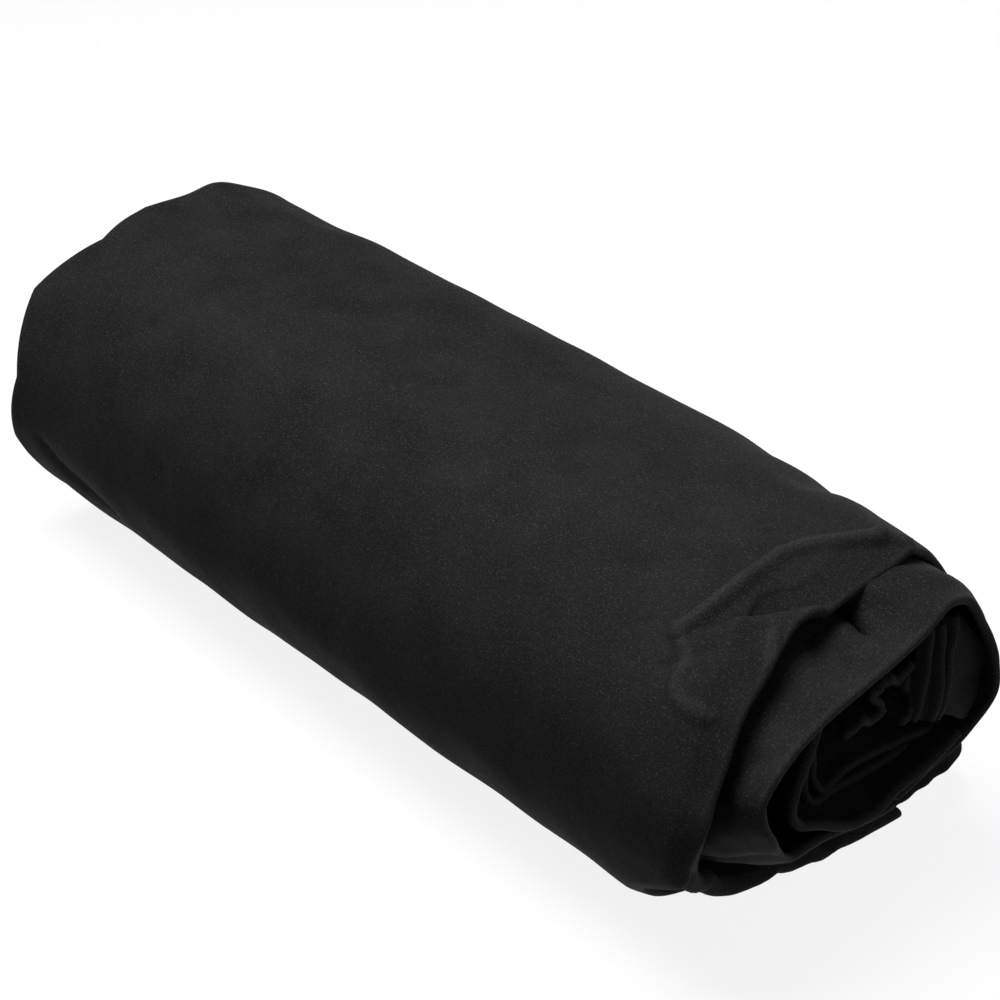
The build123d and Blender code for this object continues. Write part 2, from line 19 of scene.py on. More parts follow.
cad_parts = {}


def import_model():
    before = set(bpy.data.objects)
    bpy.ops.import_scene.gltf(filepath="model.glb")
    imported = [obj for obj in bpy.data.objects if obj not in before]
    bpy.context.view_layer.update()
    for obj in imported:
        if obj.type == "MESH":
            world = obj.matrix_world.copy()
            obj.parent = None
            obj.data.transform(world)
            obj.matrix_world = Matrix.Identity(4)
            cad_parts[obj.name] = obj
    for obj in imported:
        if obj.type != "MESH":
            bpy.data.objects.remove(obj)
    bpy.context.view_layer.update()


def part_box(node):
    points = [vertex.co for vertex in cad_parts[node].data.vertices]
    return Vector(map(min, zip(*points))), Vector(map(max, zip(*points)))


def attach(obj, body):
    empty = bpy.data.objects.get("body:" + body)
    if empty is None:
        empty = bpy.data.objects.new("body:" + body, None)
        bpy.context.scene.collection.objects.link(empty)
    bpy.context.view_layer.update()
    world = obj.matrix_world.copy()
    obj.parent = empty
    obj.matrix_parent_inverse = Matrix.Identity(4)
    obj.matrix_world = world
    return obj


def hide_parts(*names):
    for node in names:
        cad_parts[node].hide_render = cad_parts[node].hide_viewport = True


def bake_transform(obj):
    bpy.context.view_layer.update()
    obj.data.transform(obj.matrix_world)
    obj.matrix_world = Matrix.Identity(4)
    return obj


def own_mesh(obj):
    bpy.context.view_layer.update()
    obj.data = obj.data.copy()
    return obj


log = logging.getLogger("spray_skirt")

MM = 0.001
Array = np.ndarray
Point = tuple[float, float, float]
Face = tuple[int, ...]
Piece = bpy.types.Object
Socket = bpy.types.NodeSocket
TINY = 1e-9
STEP_ON_CLOTH = 1.9  # step between a layer's columns on its cloth map, in millimetres
CREASE_WEAR_AND_HIGHLIGHT = 0.75  # wear and painted highlight on the crest of a sharp crease
RIM_WEAR_AND_HIGHLIGHT = 0.4  # wear and painted highlight on a layer's rims
CALMEST = 0.35  # share of the unevenness that is left at the rims
INSIDE_WEAR_AND_HIGHLIGHT = 0.6  # wear and painted highlight of a layer's inner face, as a share of its outer face's
BAND_SCALE = 0.314  # scale of a band texture whose bands are one unit apart
WAVES = 18  # plane waves that make up an unevenness


# ------------------------------------------------------------------ named options
class Body(Enum):
    """The bodies of the frame that cloth pieces ride on."""

    ROLL = "roll"
    FREE_END = "free_end"


class Slot(Enum):
    """The record's material slots."""

    DECK = "deck_cloth"
    HEM = "hem_cloth"
    TUNNEL = "tunnel_cloth"
    ELASTIC = "elastic"
    TAPE = "seam_tape"
    WEBBING = "webbing"
    CORD = "shock_cord"
    MOULDED = "moulded_nylon"
    SPRING = "spring_wire"


class Profile(Enum):
    """How a crease stands on the cloth."""

    RIDGE = 1.0
    GROOVE = -1.0


# ------------------------------------------------------------------ smooth lines and surfaces
def smooth_line(knots: Array, values: Array, at: Array) -> Array:
    """Reads a smooth curve through a few values.

    Args:
        knots: Where the values stand, rising, shape (n,).
        values: The values, shape (n,) or (n, k).
        at: Where to read the curve, shape (m,).

    Returns:
        The curve at those places, shape (m,) or (m, k).
    """
    knots, values = np.asarray(knots, float), np.asarray(values, float)
    flat = values.ndim == 1
    table = values[:, None] if flat else values
    slopes = np.gradient(table, knots, axis=0)
    place = np.clip(np.asarray(at, float), knots[0], knots[-1])
    index = np.clip(np.searchsorted(knots, place, side="right") - 1, 0, len(knots) - 2)
    step = (knots[index + 1] - knots[index])[:, None]
    t = (place - knots[index])[:, None] / step
    start = (1 + 2 * t) * (1 - t) ** 2 * table[index] + t * (1 - t) ** 2 * step * slopes[index]
    end = t * t * (3 - 2 * t) * table[index + 1] + t * t * (t - 1) * step * slopes[index + 1]
    return (start + end)[:, 0] if flat else start + end


def ease(share: Array) -> Array:
    """0 below 0, 1 above 1, and smooth between."""
    t = np.clip(share, 0.0, 1.0)
    return t * t * (3 - 2 * t)


def surface_normals(surface: Array) -> Array:
    """Unit normals of a grid of points, shape (n, m, 3), outwards for the layers of the roll."""
    across = np.gradient(surface, axis=0)
    along = np.gradient(surface, axis=1)
    normal = np.cross(along, across)
    return normal / np.maximum(np.linalg.norm(normal, axis=2, keepdims=True), TINY)


@dataclass(frozen=True)
class Unevenness:
    """Smooth, repeatable unevenness of cloth that has been handled.

    Args:
        seed: Which unevenness.
        size: Usual distance between two swells, in millimetres.
        height: Usual height of a swell, in millimetres.
        stretch: How much longer a swell is along the roll than round it.
    """

    seed: int
    size: float
    height: float
    stretch: float = 1.0

    def at(self, along: Array, around: Array) -> Array:
        """Height of the cloth above its plain surface, at places in millimetres."""
        random = np.random.default_rng(self.seed)
        total = np.zeros(np.broadcast(along, around).shape)
        for _ in range(WAVES):
            direction, phase = random.uniform(0, 2 * math.pi, 2)
            pace = 2 * math.pi / (self.size * random.uniform(0.7, 1.5))
            run = along / self.stretch * math.cos(direction) + around * math.sin(direction)
            total = total + np.cos(run * pace + phase)
        return self.height * total / math.sqrt(WAVES / 2)


@dataclass(frozen=True)
class Crease:
    """A narrow fold mark on a layer.

    Args:
        path: Points (along, angle) that it runs through.
        height: How far it stands out, or in for a groove.
        width: Half its width.
        profile: Ridge or groove.
    """

    path: tuple[tuple[float, float], ...]
    height: float
    width: float
    profile: Profile = Profile.RIDGE

    @property
    def sharp(self) -> bool:
        """True for a narrow ridge, whose crest gets a paler colour: partly wear, partly painted
        highlight.
        """
        return self.profile is Profile.RIDGE and self.width < 3

    def closeness(self, along: Array, angle: Array) -> Array:
        """1 on the crease and 0 well away from it."""
        distance = np.full(along.shape, 1e9)
        for (a0, b0), (a1, b1) in zip(self.path, self.path[1:]):
            length = math.hypot(a1 - a0, b1 - b0)
            run = ((along - a0) * (a1 - a0) + (angle - b0) * (b1 - b0)) / length**2
            run = np.clip(run, 0, 1)
            gap = np.hypot(along - a0 - run * (a1 - a0), angle - b0 - run * (b1 - b0))
            distance = np.minimum(distance, gap)
        return np.exp(-((distance / self.width) ** 2))

    def raise_by(self, along: Array, angle: Array) -> Array:
        """How far the crease lifts the cloth at these places, in millimetres."""
        return self.profile.value * self.height * self.closeness(along, angle)


@dataclass(frozen=True)
class Hollow:
    """A sunken band between two lines round the roll, deepest just before its second line.

    Args:
        first: (angle, along) of the line where the cloth starts to sink.
        second: (angle, along) of the line where it is up again.
        depth: How deep it is.
        fade: Degrees over which it runs out at both ends.
        full_gap: Distance between the lines from which it has its full depth.
    """

    first: tuple[tuple[float, float], ...]
    second: tuple[tuple[float, float], ...]
    depth: float
    fade: float = 9.0
    full_gap: float = 14.0

    def raise_by(self, along: Array, angle: Array) -> Array:
        """How far the band lowers the cloth at these places, in millimetres."""
        low = np.array(self.first)
        high = np.array(self.second)
        start = np.interp(angle, low[:, 0], low[:, 1])
        end = np.interp(angle, high[:, 0], high[:, 1])
        gap = np.maximum(end - start, 0.5)
        share = (along - start) / gap
        fade = ease((angle - low[0, 0]) / self.fade) * ease((low[-1, 0] - angle) / self.fade)
        depth = np.clip(share, 0, 1) ** 0.75 * ease((1.12 - share) / 0.2)
        return -self.depth * np.minimum(gap / self.full_gap, 1) * depth * fade


# ------------------------------------------------------------------ the roll in the frame
@dataclass(frozen=True)
class Coil:
    """One turn of the roll seen along its axis: flat above and below, round at front and back.

    Args:
        reaches: (angle, radius) pairs; the radius changes evenly between them.
        front_flat: How far the flat stretches reach towards the front.
        back_flat: How far they reach towards the back.
        axis_height: Height of the roll's axis above the floor.
    """

    reaches: tuple[tuple[float, float], ...]
    front_flat: float = 13.0
    back_flat: float = 13.0
    axis_height: float = 58.1

    def at(self, angle: Array) -> Array:
        """Points (across, height) in the directions of these angles from the axis."""
        knots = np.array(self.reaches)
        radius = np.interp(angle, knots[:, 0], knots[:, 1])
        turn = np.radians(angle)
        sine, cosine = np.sin(turn), np.cos(turn)
        flat = np.where(sine > 0, self.front_flat, self.back_flat)
        round_reach = np.sqrt(np.maximum(radius**2 - (flat * cosine) ** 2, 0)) + flat * np.abs(sine)
        flat_reach = radius / np.maximum(np.abs(cosine), 1e-6)
        on_flat = flat_reach * np.abs(sine) <= flat
        reach = np.where(on_flat, flat_reach, round_reach)
        return np.stack([-reach * sine, self.axis_height - reach * cosine], axis=-1)


@dataclass(frozen=True)
class Ring:
    """A free shape of a fold seen along the roll's axis, smooth through a few points.

    Args:
        start: Angle that the first point stands for.
        end: Angle that the last point stands for.
        points: (across, height) of the points.
    """

    start: float
    end: float
    points: tuple[tuple[float, float], ...]

    def at(self, angle: Array) -> Array:
        """Points (across, height) for these angles."""
        table = np.array(self.points, float)
        runs = np.hypot(*np.diff(table, axis=0).T)
        shares = np.concatenate([[0], np.cumsum(runs)])
        knots = self.start + (self.end - self.start) * shares / runs.sum()
        return smooth_line(knots, table, angle)


@dataclass(frozen=True)
class RollAxis:
    """Where the roll lies in the shared frame: its middle, in millimetres."""

    along: float
    across: float

    @classmethod
    def of_frame(cls, far_end: float, front: float) -> RollAxis:
        """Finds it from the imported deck, given where its far end and its front are in the roll."""
        low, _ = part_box("deck_panel")
        return cls(low.x / MM - far_end, low.y / MM - front)

    def place(self, points: Array) -> Array:
        """Points (along, across, height) in metres in the shared frame."""
        return (np.asarray(points, float) + np.array([self.along, self.across, 0.0])) * MM


# ------------------------------------------------------------------ meshes
def add_object(name: str, data: bpy.types.ID) -> Piece:
    """An object in the scene that shows a mesh, curve, light or camera."""
    made = bpy.data.objects.new(name, data)
    bpy.context.scene.collection.objects.link(made)
    return made


def make_piece(name: str, points: Array, faces: list[Face]) -> Piece:
    """A mesh object at the origin from points in metres and faces."""
    mesh = bpy.data.meshes.new(name)
    mesh.from_pydata(points.reshape(-1, 3).tolist(), [], faces)
    mesh.validate()
    mesh.polygons.foreach_set("use_smooth", [True] * len(mesh.polygons))
    return add_object(name, mesh)


def grid_faces(index: Array, flipped: bool = False) -> list[Face]:
    """Quads between the neighbours in a grid of point numbers, turned over if flipped."""
    corners = [index[:-1, :-1], index[:-1, 1:], index[1:, 1:], index[1:, :-1]]
    if flipped:
        corners = [corners[0], *corners[:0:-1]]
    return [tuple(quad) for quad in np.stack(corners, axis=-1).reshape(-1, 4).tolist()]


def shaped_mesh(source: Piece, name: str) -> bpy.types.Mesh:
    """A plain mesh of what an object's modifiers make of it."""
    bpy.context.view_layer.update()
    shaped = source.evaluated_get(bpy.context.evaluated_depsgraph_get())
    mesh = bpy.data.meshes.new_from_object(shaped)
    mesh.name = name
    return mesh


def give_thickness(piece: Piece, ply: float) -> Piece:
    """Turns a surface into cloth this many millimetres thick."""
    solid = piece.modifiers.new("ply", "SOLIDIFY")
    solid.thickness = ply * MM
    solid.offset = 0.0
    mesh = shaped_mesh(piece, piece.name)
    piece.modifiers.clear()
    piece.data = mesh
    return piece


def set_point_values(piece: Piece, name: str, values: Array) -> None:
    """Stores one number for each point of a piece's mesh."""
    attribute = piece.data.attributes.new(name, "FLOAT", "POINT")
    attribute.data.foreach_set("value", values.astype(np.float32).ravel())


def set_cloth_map(piece: Piece, flat: Array) -> None:
    """Gives a piece its UV map: where each point lies on the flat cloth, in metres."""
    layer = piece.data.uv_layers.new(name="cloth")
    corners = np.zeros(len(piece.data.loops), np.int32)
    piece.data.loops.foreach_get("vertex_index", corners)
    layer.data.foreach_set("uv", flat.reshape(-1, 2)[corners].astype(np.float32).ravel())


def dress(piece: Piece, material: bpy.types.Material) -> Piece:
    """Puts a material on every face of a piece."""
    piece.data.materials.clear()
    piece.data.materials.append(material)
    return piece


# ------------------------------------------------------------------ materials
class NodeTree:
    """A node tree, with short calls for its nodes and links."""

    def __init__(self, tree: bpy.types.NodeTree) -> None:
        """Takes a tree up."""
        self.tree = tree

    def node(self, kind: str, **values: object) -> bpy.types.Node:
        """A node with some of its properties set."""
        made = self.tree.nodes.new(kind)
        for key, value in values.items():
            setattr(made, key, value)
        return made

    def join(self, source: Socket, target: Socket) -> None:
        """Links two sockets."""
        self.tree.links.new(source, target)

    def math(self, operation: str, first: Socket, second: Socket | float) -> Socket:
        """A plain operation on two numbers."""
        made = self.node("ShaderNodeMath", operation=operation)
        self.join(first, made.inputs[0])
        if isinstance(second, float):
            made.inputs[1].default_value = second
        else:
            self.join(second, made.inputs[1])
        return made.outputs["Value"]


class NodeSheet(NodeTree):
    """A material's node tree, with short calls for the nodes that the finishes use."""

    def __init__(self, name: str) -> None:
        """Starts an empty material with one Principled shader."""
        self.material = bpy.data.materials.new(name)
        self.material.use_nodes = True
        super().__init__(self.material.node_tree)
        self.tree.nodes.clear()
        self.shader = self.node("ShaderNodeBsdfPrincipled")
        self.output = self.node("ShaderNodeOutputMaterial")
        self.join(self.shader.outputs["BSDF"], self.output.inputs["Surface"])

    def place(self) -> Socket:
        """Object coordinates."""
        return self.node("ShaderNodeTexCoord").outputs["Object"]

    def cloth(self) -> Socket:
        """The piece's own cloth map."""
        return self.node("ShaderNodeUVMap", uv_map="cloth").outputs["UV"]

    def noise(self, at: Socket, size: float, detail: float, rough: float) -> Socket:
        """Noise whose features are about size metres across, as a factor."""
        made = self.node("ShaderNodeTexNoise")
        self.join(at, made.inputs["Vector"])
        made.inputs["Scale"].default_value = 1 / size
        made.inputs["Detail"].default_value = detail
        made.inputs["Roughness"].default_value = rough
        return made.outputs["Fac"]

    def bands(self, at: Socket, size: float, direction: str, warp: float) -> Socket:
        """Parallel bands size metres apart along X or Y, as a factor."""
        made = self.node("ShaderNodeTexWave", wave_type="BANDS", bands_direction=direction)
        self.join(at, made.inputs["Vector"])
        made.inputs["Scale"].default_value = BAND_SCALE / size
        made.inputs["Distortion"].default_value = warp
        return made.outputs["Fac"]

    def spread(self, factor: Socket, low: float, high: float, to_low: float, to_high: float) -> Socket:
        """A factor's range low..high taken to another range."""
        made = self.node("ShaderNodeMapRange")
        self.join(factor, made.inputs["Value"])
        limits = {"From Min": low, "From Max": high, "To Min": to_low, "To Max": to_high}
        for key, value in limits.items():
            made.inputs[key].default_value = value
        return made.outputs["Result"]

    def value(self, name: str) -> Socket:
        """A number that the mesh holds for each point."""
        return self.node("ShaderNodeAttribute", attribute_name=name).outputs["Fac"]

    def mixed(self, factor: Socket, low: Socket | Point, high: Point) -> Socket:
        """A colour between two, by a factor."""
        made = self.node("ShaderNodeMix", data_type="RGBA")
        self.join(factor, made.inputs["Factor"])
        if isinstance(low, tuple):
            made.inputs["A"].default_value = (*low, 1.0)
        else:
            self.join(low, made.inputs["A"])
        made.inputs["B"].default_value = (*high, 1.0)
        return made.outputs["Result"]

    def bump(
        self, height: Socket, depth: float, strength: float, under: Socket | None = None
    ) -> Socket:
        """A bump of depth metres from a factor, on top of another bump."""
        made = self.node("ShaderNodeBump")
        self.join(height, made.inputs["Height"])
        made.inputs["Distance"].default_value = depth
        made.inputs["Strength"].default_value = strength
        if under is not None:
            self.join(under, made.inputs["Normal"])
        return made.outputs["Normal"]


@dataclass(frozen=True)
class CoatedNylon:
    """Black coated nylon: a dull plain weave with painted glints, paler on creases and rims (wear and
    painted highlight).

    Args:
        name: The material's name.
        dark: Lowest colour of the cloth.
        pale: Highest colour of the cloth.
        worn: Colour of crease crests and rims: partly wear, partly painted highlight.
        roughness: Middle roughness.
        painted_glint: Colour of the painted glints, bright specks that stand in for sparkle off the
            fibres.
        gloss: Strength of the mirror-like shine.
        thread: Distance between two threads of the weave, in metres.
    """

    name: str
    dark: float = 0.0115
    pale: float = 0.0225
    worn: float = 0.042
    roughness: float = 0.62
    painted_glint: float = 0.075
    gloss: float = 0.016
    thread: float = 0.0009

    def make(self) -> bpy.types.Material:
        """Builds the material."""
        sheet = NodeSheet(self.name)
        place, cloth = sheet.place(), sheet.cloth()
        mottle = sheet.noise(place, 0.022, 4.0, 0.6)
        grain = sheet.noise(place, 0.0007, 2.0, 0.7)
        cloud = sheet.spread(sheet.math("ADD", mottle, grain), 0.68, 1.36, 0.0, 1.0)
        base = sheet.mixed(cloud, (self.dark,) * 3, (self.pale,) * 3)
        # paler on crease crests and rims from the per-point attribute: partly wear, partly painted
        # highlight
        patchy = sheet.spread(grain, 0.35, 0.65, 0.35, 1.0)
        wear_and_highlight_mix = sheet.math("MULTIPLY", sheet.value("worn"), patchy)
        wear_and_highlight_mix = sheet.spread(wear_and_highlight_mix, 0.05, 1.0, 0.0, 0.9)
        base = sheet.mixed(wear_and_highlight_mix, base, (self.worn,) * 3)
        # painted glints: bright specks in the colour that stand in for sparkle
        painted_glints = sheet.spread(sheet.noise(place, 0.0005, 1.0, 0.5), 0.57, 0.74, 0.0, 0.5)
        base = sheet.mixed(painted_glints, base, (self.painted_glint,) * 3)
        sheet.join(base, sheet.shader.inputs["Base Color"])
        rough = sheet.spread(cloud, 0.0, 1.0, self.roughness - 0.05, self.roughness + 0.08)
        sheet.join(rough, sheet.shader.inputs["Roughness"])
        warp = sheet.bands(cloth, self.thread, "X", 0.6)
        weft = sheet.bands(cloth, self.thread, "Y", 0.6)
        weave = sheet.math("MULTIPLY", warp, weft)
        normal = sheet.bump(sheet.noise(place, 0.011, 5.0, 0.55), 0.0009, 0.55)
        normal = sheet.bump(grain, 0.00022, 0.55, normal)
        normal = sheet.bump(weave, 0.00008, 0.5, normal)
        sheet.join(normal, sheet.shader.inputs["Normal"])
        sheet.shader.inputs["Specular IOR Level"].default_value = self.gloss
        return sheet.material


@dataclass(frozen=True)
class Braid:
    """Woven narrow goods: webbing, elastic, tape and the cord's cover.

    Args:
        name: The material's name.
        colour: Its colour.
        pitch: Distance between two picks of the weave, in metres.
        depth: Height of the weave, in metres.
    """

    name: str
    colour: float
    pitch: float
    depth: float

    def make(self) -> bpy.types.Material:
        """Builds the material."""
        sheet = NodeSheet(self.name)
        place = sheet.place()
        rows = sheet.bands(place, self.pitch, "Y", 0.4)
        columns = sheet.bands(place, self.pitch * 0.7, "X", 0.4)
        weave = sheet.math("MULTIPLY", rows, columns)
        fibre = sheet.noise(place, 0.0004, 2.0, 0.6)
        shade = sheet.math("ADD", weave, fibre)
        low, high = self.colour * 0.6, self.colour * 1.7
        colour = sheet.mixed(sheet.spread(shade, 0.3, 1.5, 0.0, 1.0), (low,) * 3, (high,) * 3)
        sheet.join(colour, sheet.shader.inputs["Base Color"])
        sheet.join(sheet.spread(fibre, 0.3, 0.7, 0.55, 0.8), sheet.shader.inputs["Roughness"])
        normal = sheet.bump(weave, self.depth, 0.7)
        sheet.join(sheet.bump(fibre, self.depth * 0.4, 0.5, normal), sheet.shader.inputs["Normal"])
        sheet.shader.inputs["Sheen Weight"].default_value = 0.15
        return sheet.material


@dataclass(frozen=True)
class MouldedNylon:
    """Injection-moulded black nylon with a spark-eroded grain."""

    name: str
    colour: float = 0.012

    def make(self) -> bpy.types.Material:
        """Builds the material."""
        sheet = NodeSheet(self.name)
        place = sheet.place()
        grain = sheet.noise(place, 0.0003, 2.0, 0.5)
        cloud = sheet.noise(place, 0.006, 3.0, 0.5)
        low, high = self.colour * 0.8, self.colour * 1.4
        colour = sheet.mixed(sheet.spread(cloud, 0.3, 0.7, 0.0, 1.0), (low,) * 3, (high,) * 3)
        sheet.join(colour, sheet.shader.inputs["Base Color"])
        sheet.join(sheet.spread(cloud, 0.3, 0.7, 0.36, 0.5), sheet.shader.inputs["Roughness"])
        sheet.join(sheet.bump(grain, 0.00004, 0.6), sheet.shader.inputs["Normal"])
        return sheet.material


@dataclass(frozen=True)
class SpringSteel:
    """Drawn stainless spring wire."""

    name: str

    def make(self) -> bpy.types.Material:
        """Builds the material."""
        sheet = NodeSheet(self.name)
        drawn = sheet.noise(sheet.place(), 0.0005, 4.0, 0.6)
        colour = sheet.mixed(drawn, (0.42, 0.42, 0.43), (0.6, 0.6, 0.61))
        sheet.join(colour, sheet.shader.inputs["Base Color"])
        sheet.join(sheet.spread(drawn, 0.3, 0.7, 0.22, 0.36), sheet.shader.inputs["Roughness"])
        sheet.join(sheet.bump(drawn, 0.00001, 0.5), sheet.shader.inputs["Normal"])
        sheet.shader.inputs["Metallic"].default_value = 1.0
        return sheet.material


@dataclass
class Wardrobe:
    """The finishes of the skirt, each made once."""

    made: dict[Slot, bpy.types.Material] = field(init=False)

    def __post_init__(self) -> None:
        """Makes every finish."""
        self.made = {
            Slot.DECK: CoatedNylon("coated_nylon").make(),
            Slot.HEM: CoatedNylon("hem_nylon", dark=0.012, pale=0.022, roughness=0.74).make(),
            Slot.TUNNEL: CoatedNylon("tunnel_nylon", dark=0.015, pale=0.028, roughness=0.6).make(),
            Slot.ELASTIC: Braid("waist_elastic_weave", 0.014, 0.0012, 0.0003).make(),
            Slot.TAPE: Braid("seam_tape_weave", 0.016, 0.0008, 0.0001).make(),
            Slot.WEBBING: Braid("webbing_weave", 0.013, 0.0016, 0.0004).make(),
            Slot.CORD: Braid("cord_cover_braid", 0.016, 0.0011, 0.0003).make(),
            Slot.MOULDED: MouldedNylon("moulded_nylon").make(),
            Slot.SPRING: SpringSteel("spring_wire").make(),
        }

    def dress_node(self, name: str, slot: Slot) -> None:
        """Gives a CAD node its finish."""
        node = bpy.data.objects[name]
        node.data.materials.clear()
        node.data.materials.append(self.made[slot])


# ------------------------------------------------------------------ layers of the roll
@dataclass(frozen=True)
class RimPoint:
    """A point of a layer's rim, and the angle of the coil that it belongs to."""

    angle: float
    along: float
    across: float
    height: float

    @classmethod
    def on_coil(cls, angle: float, along: float, radius: float, flat: float) -> RimPoint:
        """A point on a plain coil of this radius."""
        across, height = Coil(((0, radius),), flat, flat).at(np.array([angle]))[0]
        return cls(angle, along, float(across), float(height))


def spaced_rim(start: float, end: float, points: tuple[Point, ...]) -> tuple[RimPoint, ...]:
    """Rim points whose angles from start to end follow their distances along the rim."""
    runs = [math.dist(a, b) for a, b in zip(points, points[1:])]
    total, done, rim = sum(runs), 0.0, []
    for point, run in zip(points, [*runs, 0.0]):
        rim.append(RimPoint(start + (end - start) * done / total, *point))
        done += run
    return tuple(rim)


@dataclass
class Layer:
    """A thickness of folded cloth that runs round the roll and ends in a soft rim at both ends.

    Args:
        name: The piece's name.
        coil: Its shape away from the open end.
        near: Its rim at the open end.
        far: (angle, along) of its rim at the other end.
        bend: (angle, length, power): how far before the rim it leaves the coil, and how softly.
        wall: Thickness of the cloth stack away from the rims.
        rim_wall: Thickness at the rims.
        rim_fade: Distance from a rim over which the thickness changes.
        marks: Creases and hollows.
        swells: Unevenness of the cloth.
        around: Steps round the roll.
        lengthwise: Steps along it.
        rim_steps: Steps round a rim.
        crowding: How strongly its steps crowd towards the open end, from 0 to 1.
        calm: Distance from a rim over which the unevenness dies down.
    """

    name: str
    coil: Coil | Ring
    near: tuple[RimPoint, ...]
    far: tuple[tuple[float, float], ...]
    bend: tuple[tuple[float, float, float], ...] = ((0, 40, 1.6),)
    wall: float = 2.4
    rim_wall: float = 5.0
    rim_fade: float = 8.0
    marks: tuple[Crease | Hollow, ...] = ()
    swells: tuple[Unevenness, ...] = ()
    around: int = 200
    lengthwise: int = 130
    rim_steps: int = 7
    crowding: float = 0.52
    calm: float = 25.0

    def middle(self) -> tuple[Array, Array, Array, Array]:
        """The layer's middle surface.

        Returns:
            The points (n, m, 3) in the roll's directions, each point's angle and place along the
            roll, and its distance from the nearer rim.
        """
        keys = np.array([point.angle for point in self.near])
        rim = np.array([(point.along, point.across, point.height) for point in self.near])
        angle = np.linspace(keys[0], keys[-1], self.around)
        near = smooth_line(keys, rim, angle)
        far_keys = np.array(self.far)
        far = np.interp(angle, far_keys[:, 0], far_keys[:, 1])
        bend_keys = np.array(self.bend)
        bend = np.interp(angle, bend_keys[:, 0], bend_keys[:, 1])[:, None]
        power = np.interp(angle, bend_keys[:, 0], bend_keys[:, 2])[:, None]
        step = np.linspace(0, 1, self.lengthwise)
        share = self.crowding * (1 - (1 - step) ** 2) + (1 - self.crowding) * step
        along = far[:, None] + share[None, :] * (near[:, 0] - far)[:, None]
        to_rim = near[:, :1] - along
        turn_in = np.clip(1 - to_rim / bend, 0, 1) ** power
        coil = self.coil.at(angle)[:, None, :]
        section = coil + (near[:, None, 1:] - coil) * turn_in[..., None]
        surface = np.concatenate([along[..., None], section], axis=2)
        angles = np.broadcast_to(angle[:, None], along.shape)
        return surface, angles, along, np.minimum(to_rim, along - far[:, None])

    def relief(self, angles: Array, along: Array, to_rim: Array) -> tuple[Array, Array]:
        """How far marks and unevenness lift the cloth, and how much wear and painted highlight it gets.
        """
        lift = np.zeros(along.shape)
        # sharp crease crests and rims get a paler colour: partly wear, partly painted highlight
        worn = np.zeros(along.shape)
        for mark in self.marks:
            lift += mark.raise_by(along, angles)
            if isinstance(mark, Crease) and mark.sharp:
                worn = np.maximum(worn, CREASE_WEAR_AND_HIGHLIGHT * mark.closeness(along, angles) ** 2)
        calmed = CALMEST + (1 - CALMEST) * ease(to_rim / self.calm)
        for swell in self.swells:
            lift += swell.at(along, angles) * calmed
        return lift, np.maximum(worn, RIM_WEAR_AND_HIGHLIGHT * np.exp(-(to_rim**2)))

    def rim_arc(self, surface: Array, normals: Array, half: Array, column: int) -> Array:
        """Points round the rim at the last column (-1) or the first (0), from face to face."""
        side, back = (1, -2) if column == -1 else (-1, 1)
        out = surface[:, column] - surface[:, back]
        out /= np.maximum(np.linalg.norm(out, axis=1, keepdims=True), TINY)
        arc = [
            surface[:, column]
            + (side * math.cos(turn) * normals[:, column] + math.sin(turn) * out) * half[:, column]
            for turn in np.linspace(0, math.pi, self.rim_steps + 2)[1:-1]
        ]
        return np.stack(arc, axis=1)

    def build(self, axis: RollAxis) -> Piece:
        """Makes the layer's mesh: outer face, near rim, inner face and far rim."""
        surface, angles, along, to_rim = self.middle()
        lift, worn = self.relief(angles, along, to_rim)
        surface = surface + surface_normals(surface) * lift[..., None]
        normals = surface_normals(surface)
        swelling = np.exp(-((to_rim / self.rim_fade) ** 2))
        half = (self.wall + (self.rim_wall - self.wall) * swelling)[..., None] / 2
        parts = [
            surface + normals * half,
            self.rim_arc(surface, normals, half, -1),
            (surface - normals * half)[:, ::-1],
            self.rim_arc(surface, normals, half, 0),
        ]
        # wear and painted highlight for each part of the mesh, less on the inner face
        wear_and_highlight_parts = [
            worn,
            np.repeat(worn[:, -1:], self.rim_steps, axis=1),
            worn[:, ::-1] * INSIDE_WEAR_AND_HIGHLIGHT,
            np.repeat(worn[:, :1], self.rim_steps, axis=1),
        ]
        grid = np.concatenate(parts, axis=1)
        rows, loop = grid.shape[:2]
        piece = make_piece(self.name, axis.place(grid), self.faces(rows, loop))
        set_point_values(piece, "worn", np.concatenate(wear_and_highlight_parts, axis=1))
        run = np.broadcast_to(np.arange(loop) * STEP_ON_CLOTH * MM, (rows, loop))
        rise = np.broadcast_to(angles[:, :1] * MM, (rows, loop))
        set_cloth_map(piece, np.stack([rise, run], axis=-1))
        return piece

    def faces(self, rows: int, loop: int) -> list[Face]:
        """Faces round the layer, and the closed ends at the start and end of the turn."""
        index = np.arange(rows * loop).reshape(rows, loop)
        faces = grid_faces(np.concatenate([index, index[:, :1]], axis=1))
        lengthwise = self.lengthwise
        inner = lengthwise + self.rim_steps + lengthwise - 1
        for row, turned in ((0, False), (rows - 1, True)):
            line = index[row].tolist()
            for j in range(lengthwise - 1):
                ladder = (line[j], line[inner - j], line[inner - j - 1], line[j + 1])
                faces.append(ladder[::-1] if turned else ladder)
            near_rim = tuple(line[lengthwise - 1 : lengthwise + self.rim_steps + 1])
            far_rim = (*line[inner:], line[0])
            for rim in (near_rim, far_rim):
                faces.append(rim if turned else rim[::-1])
        return faces


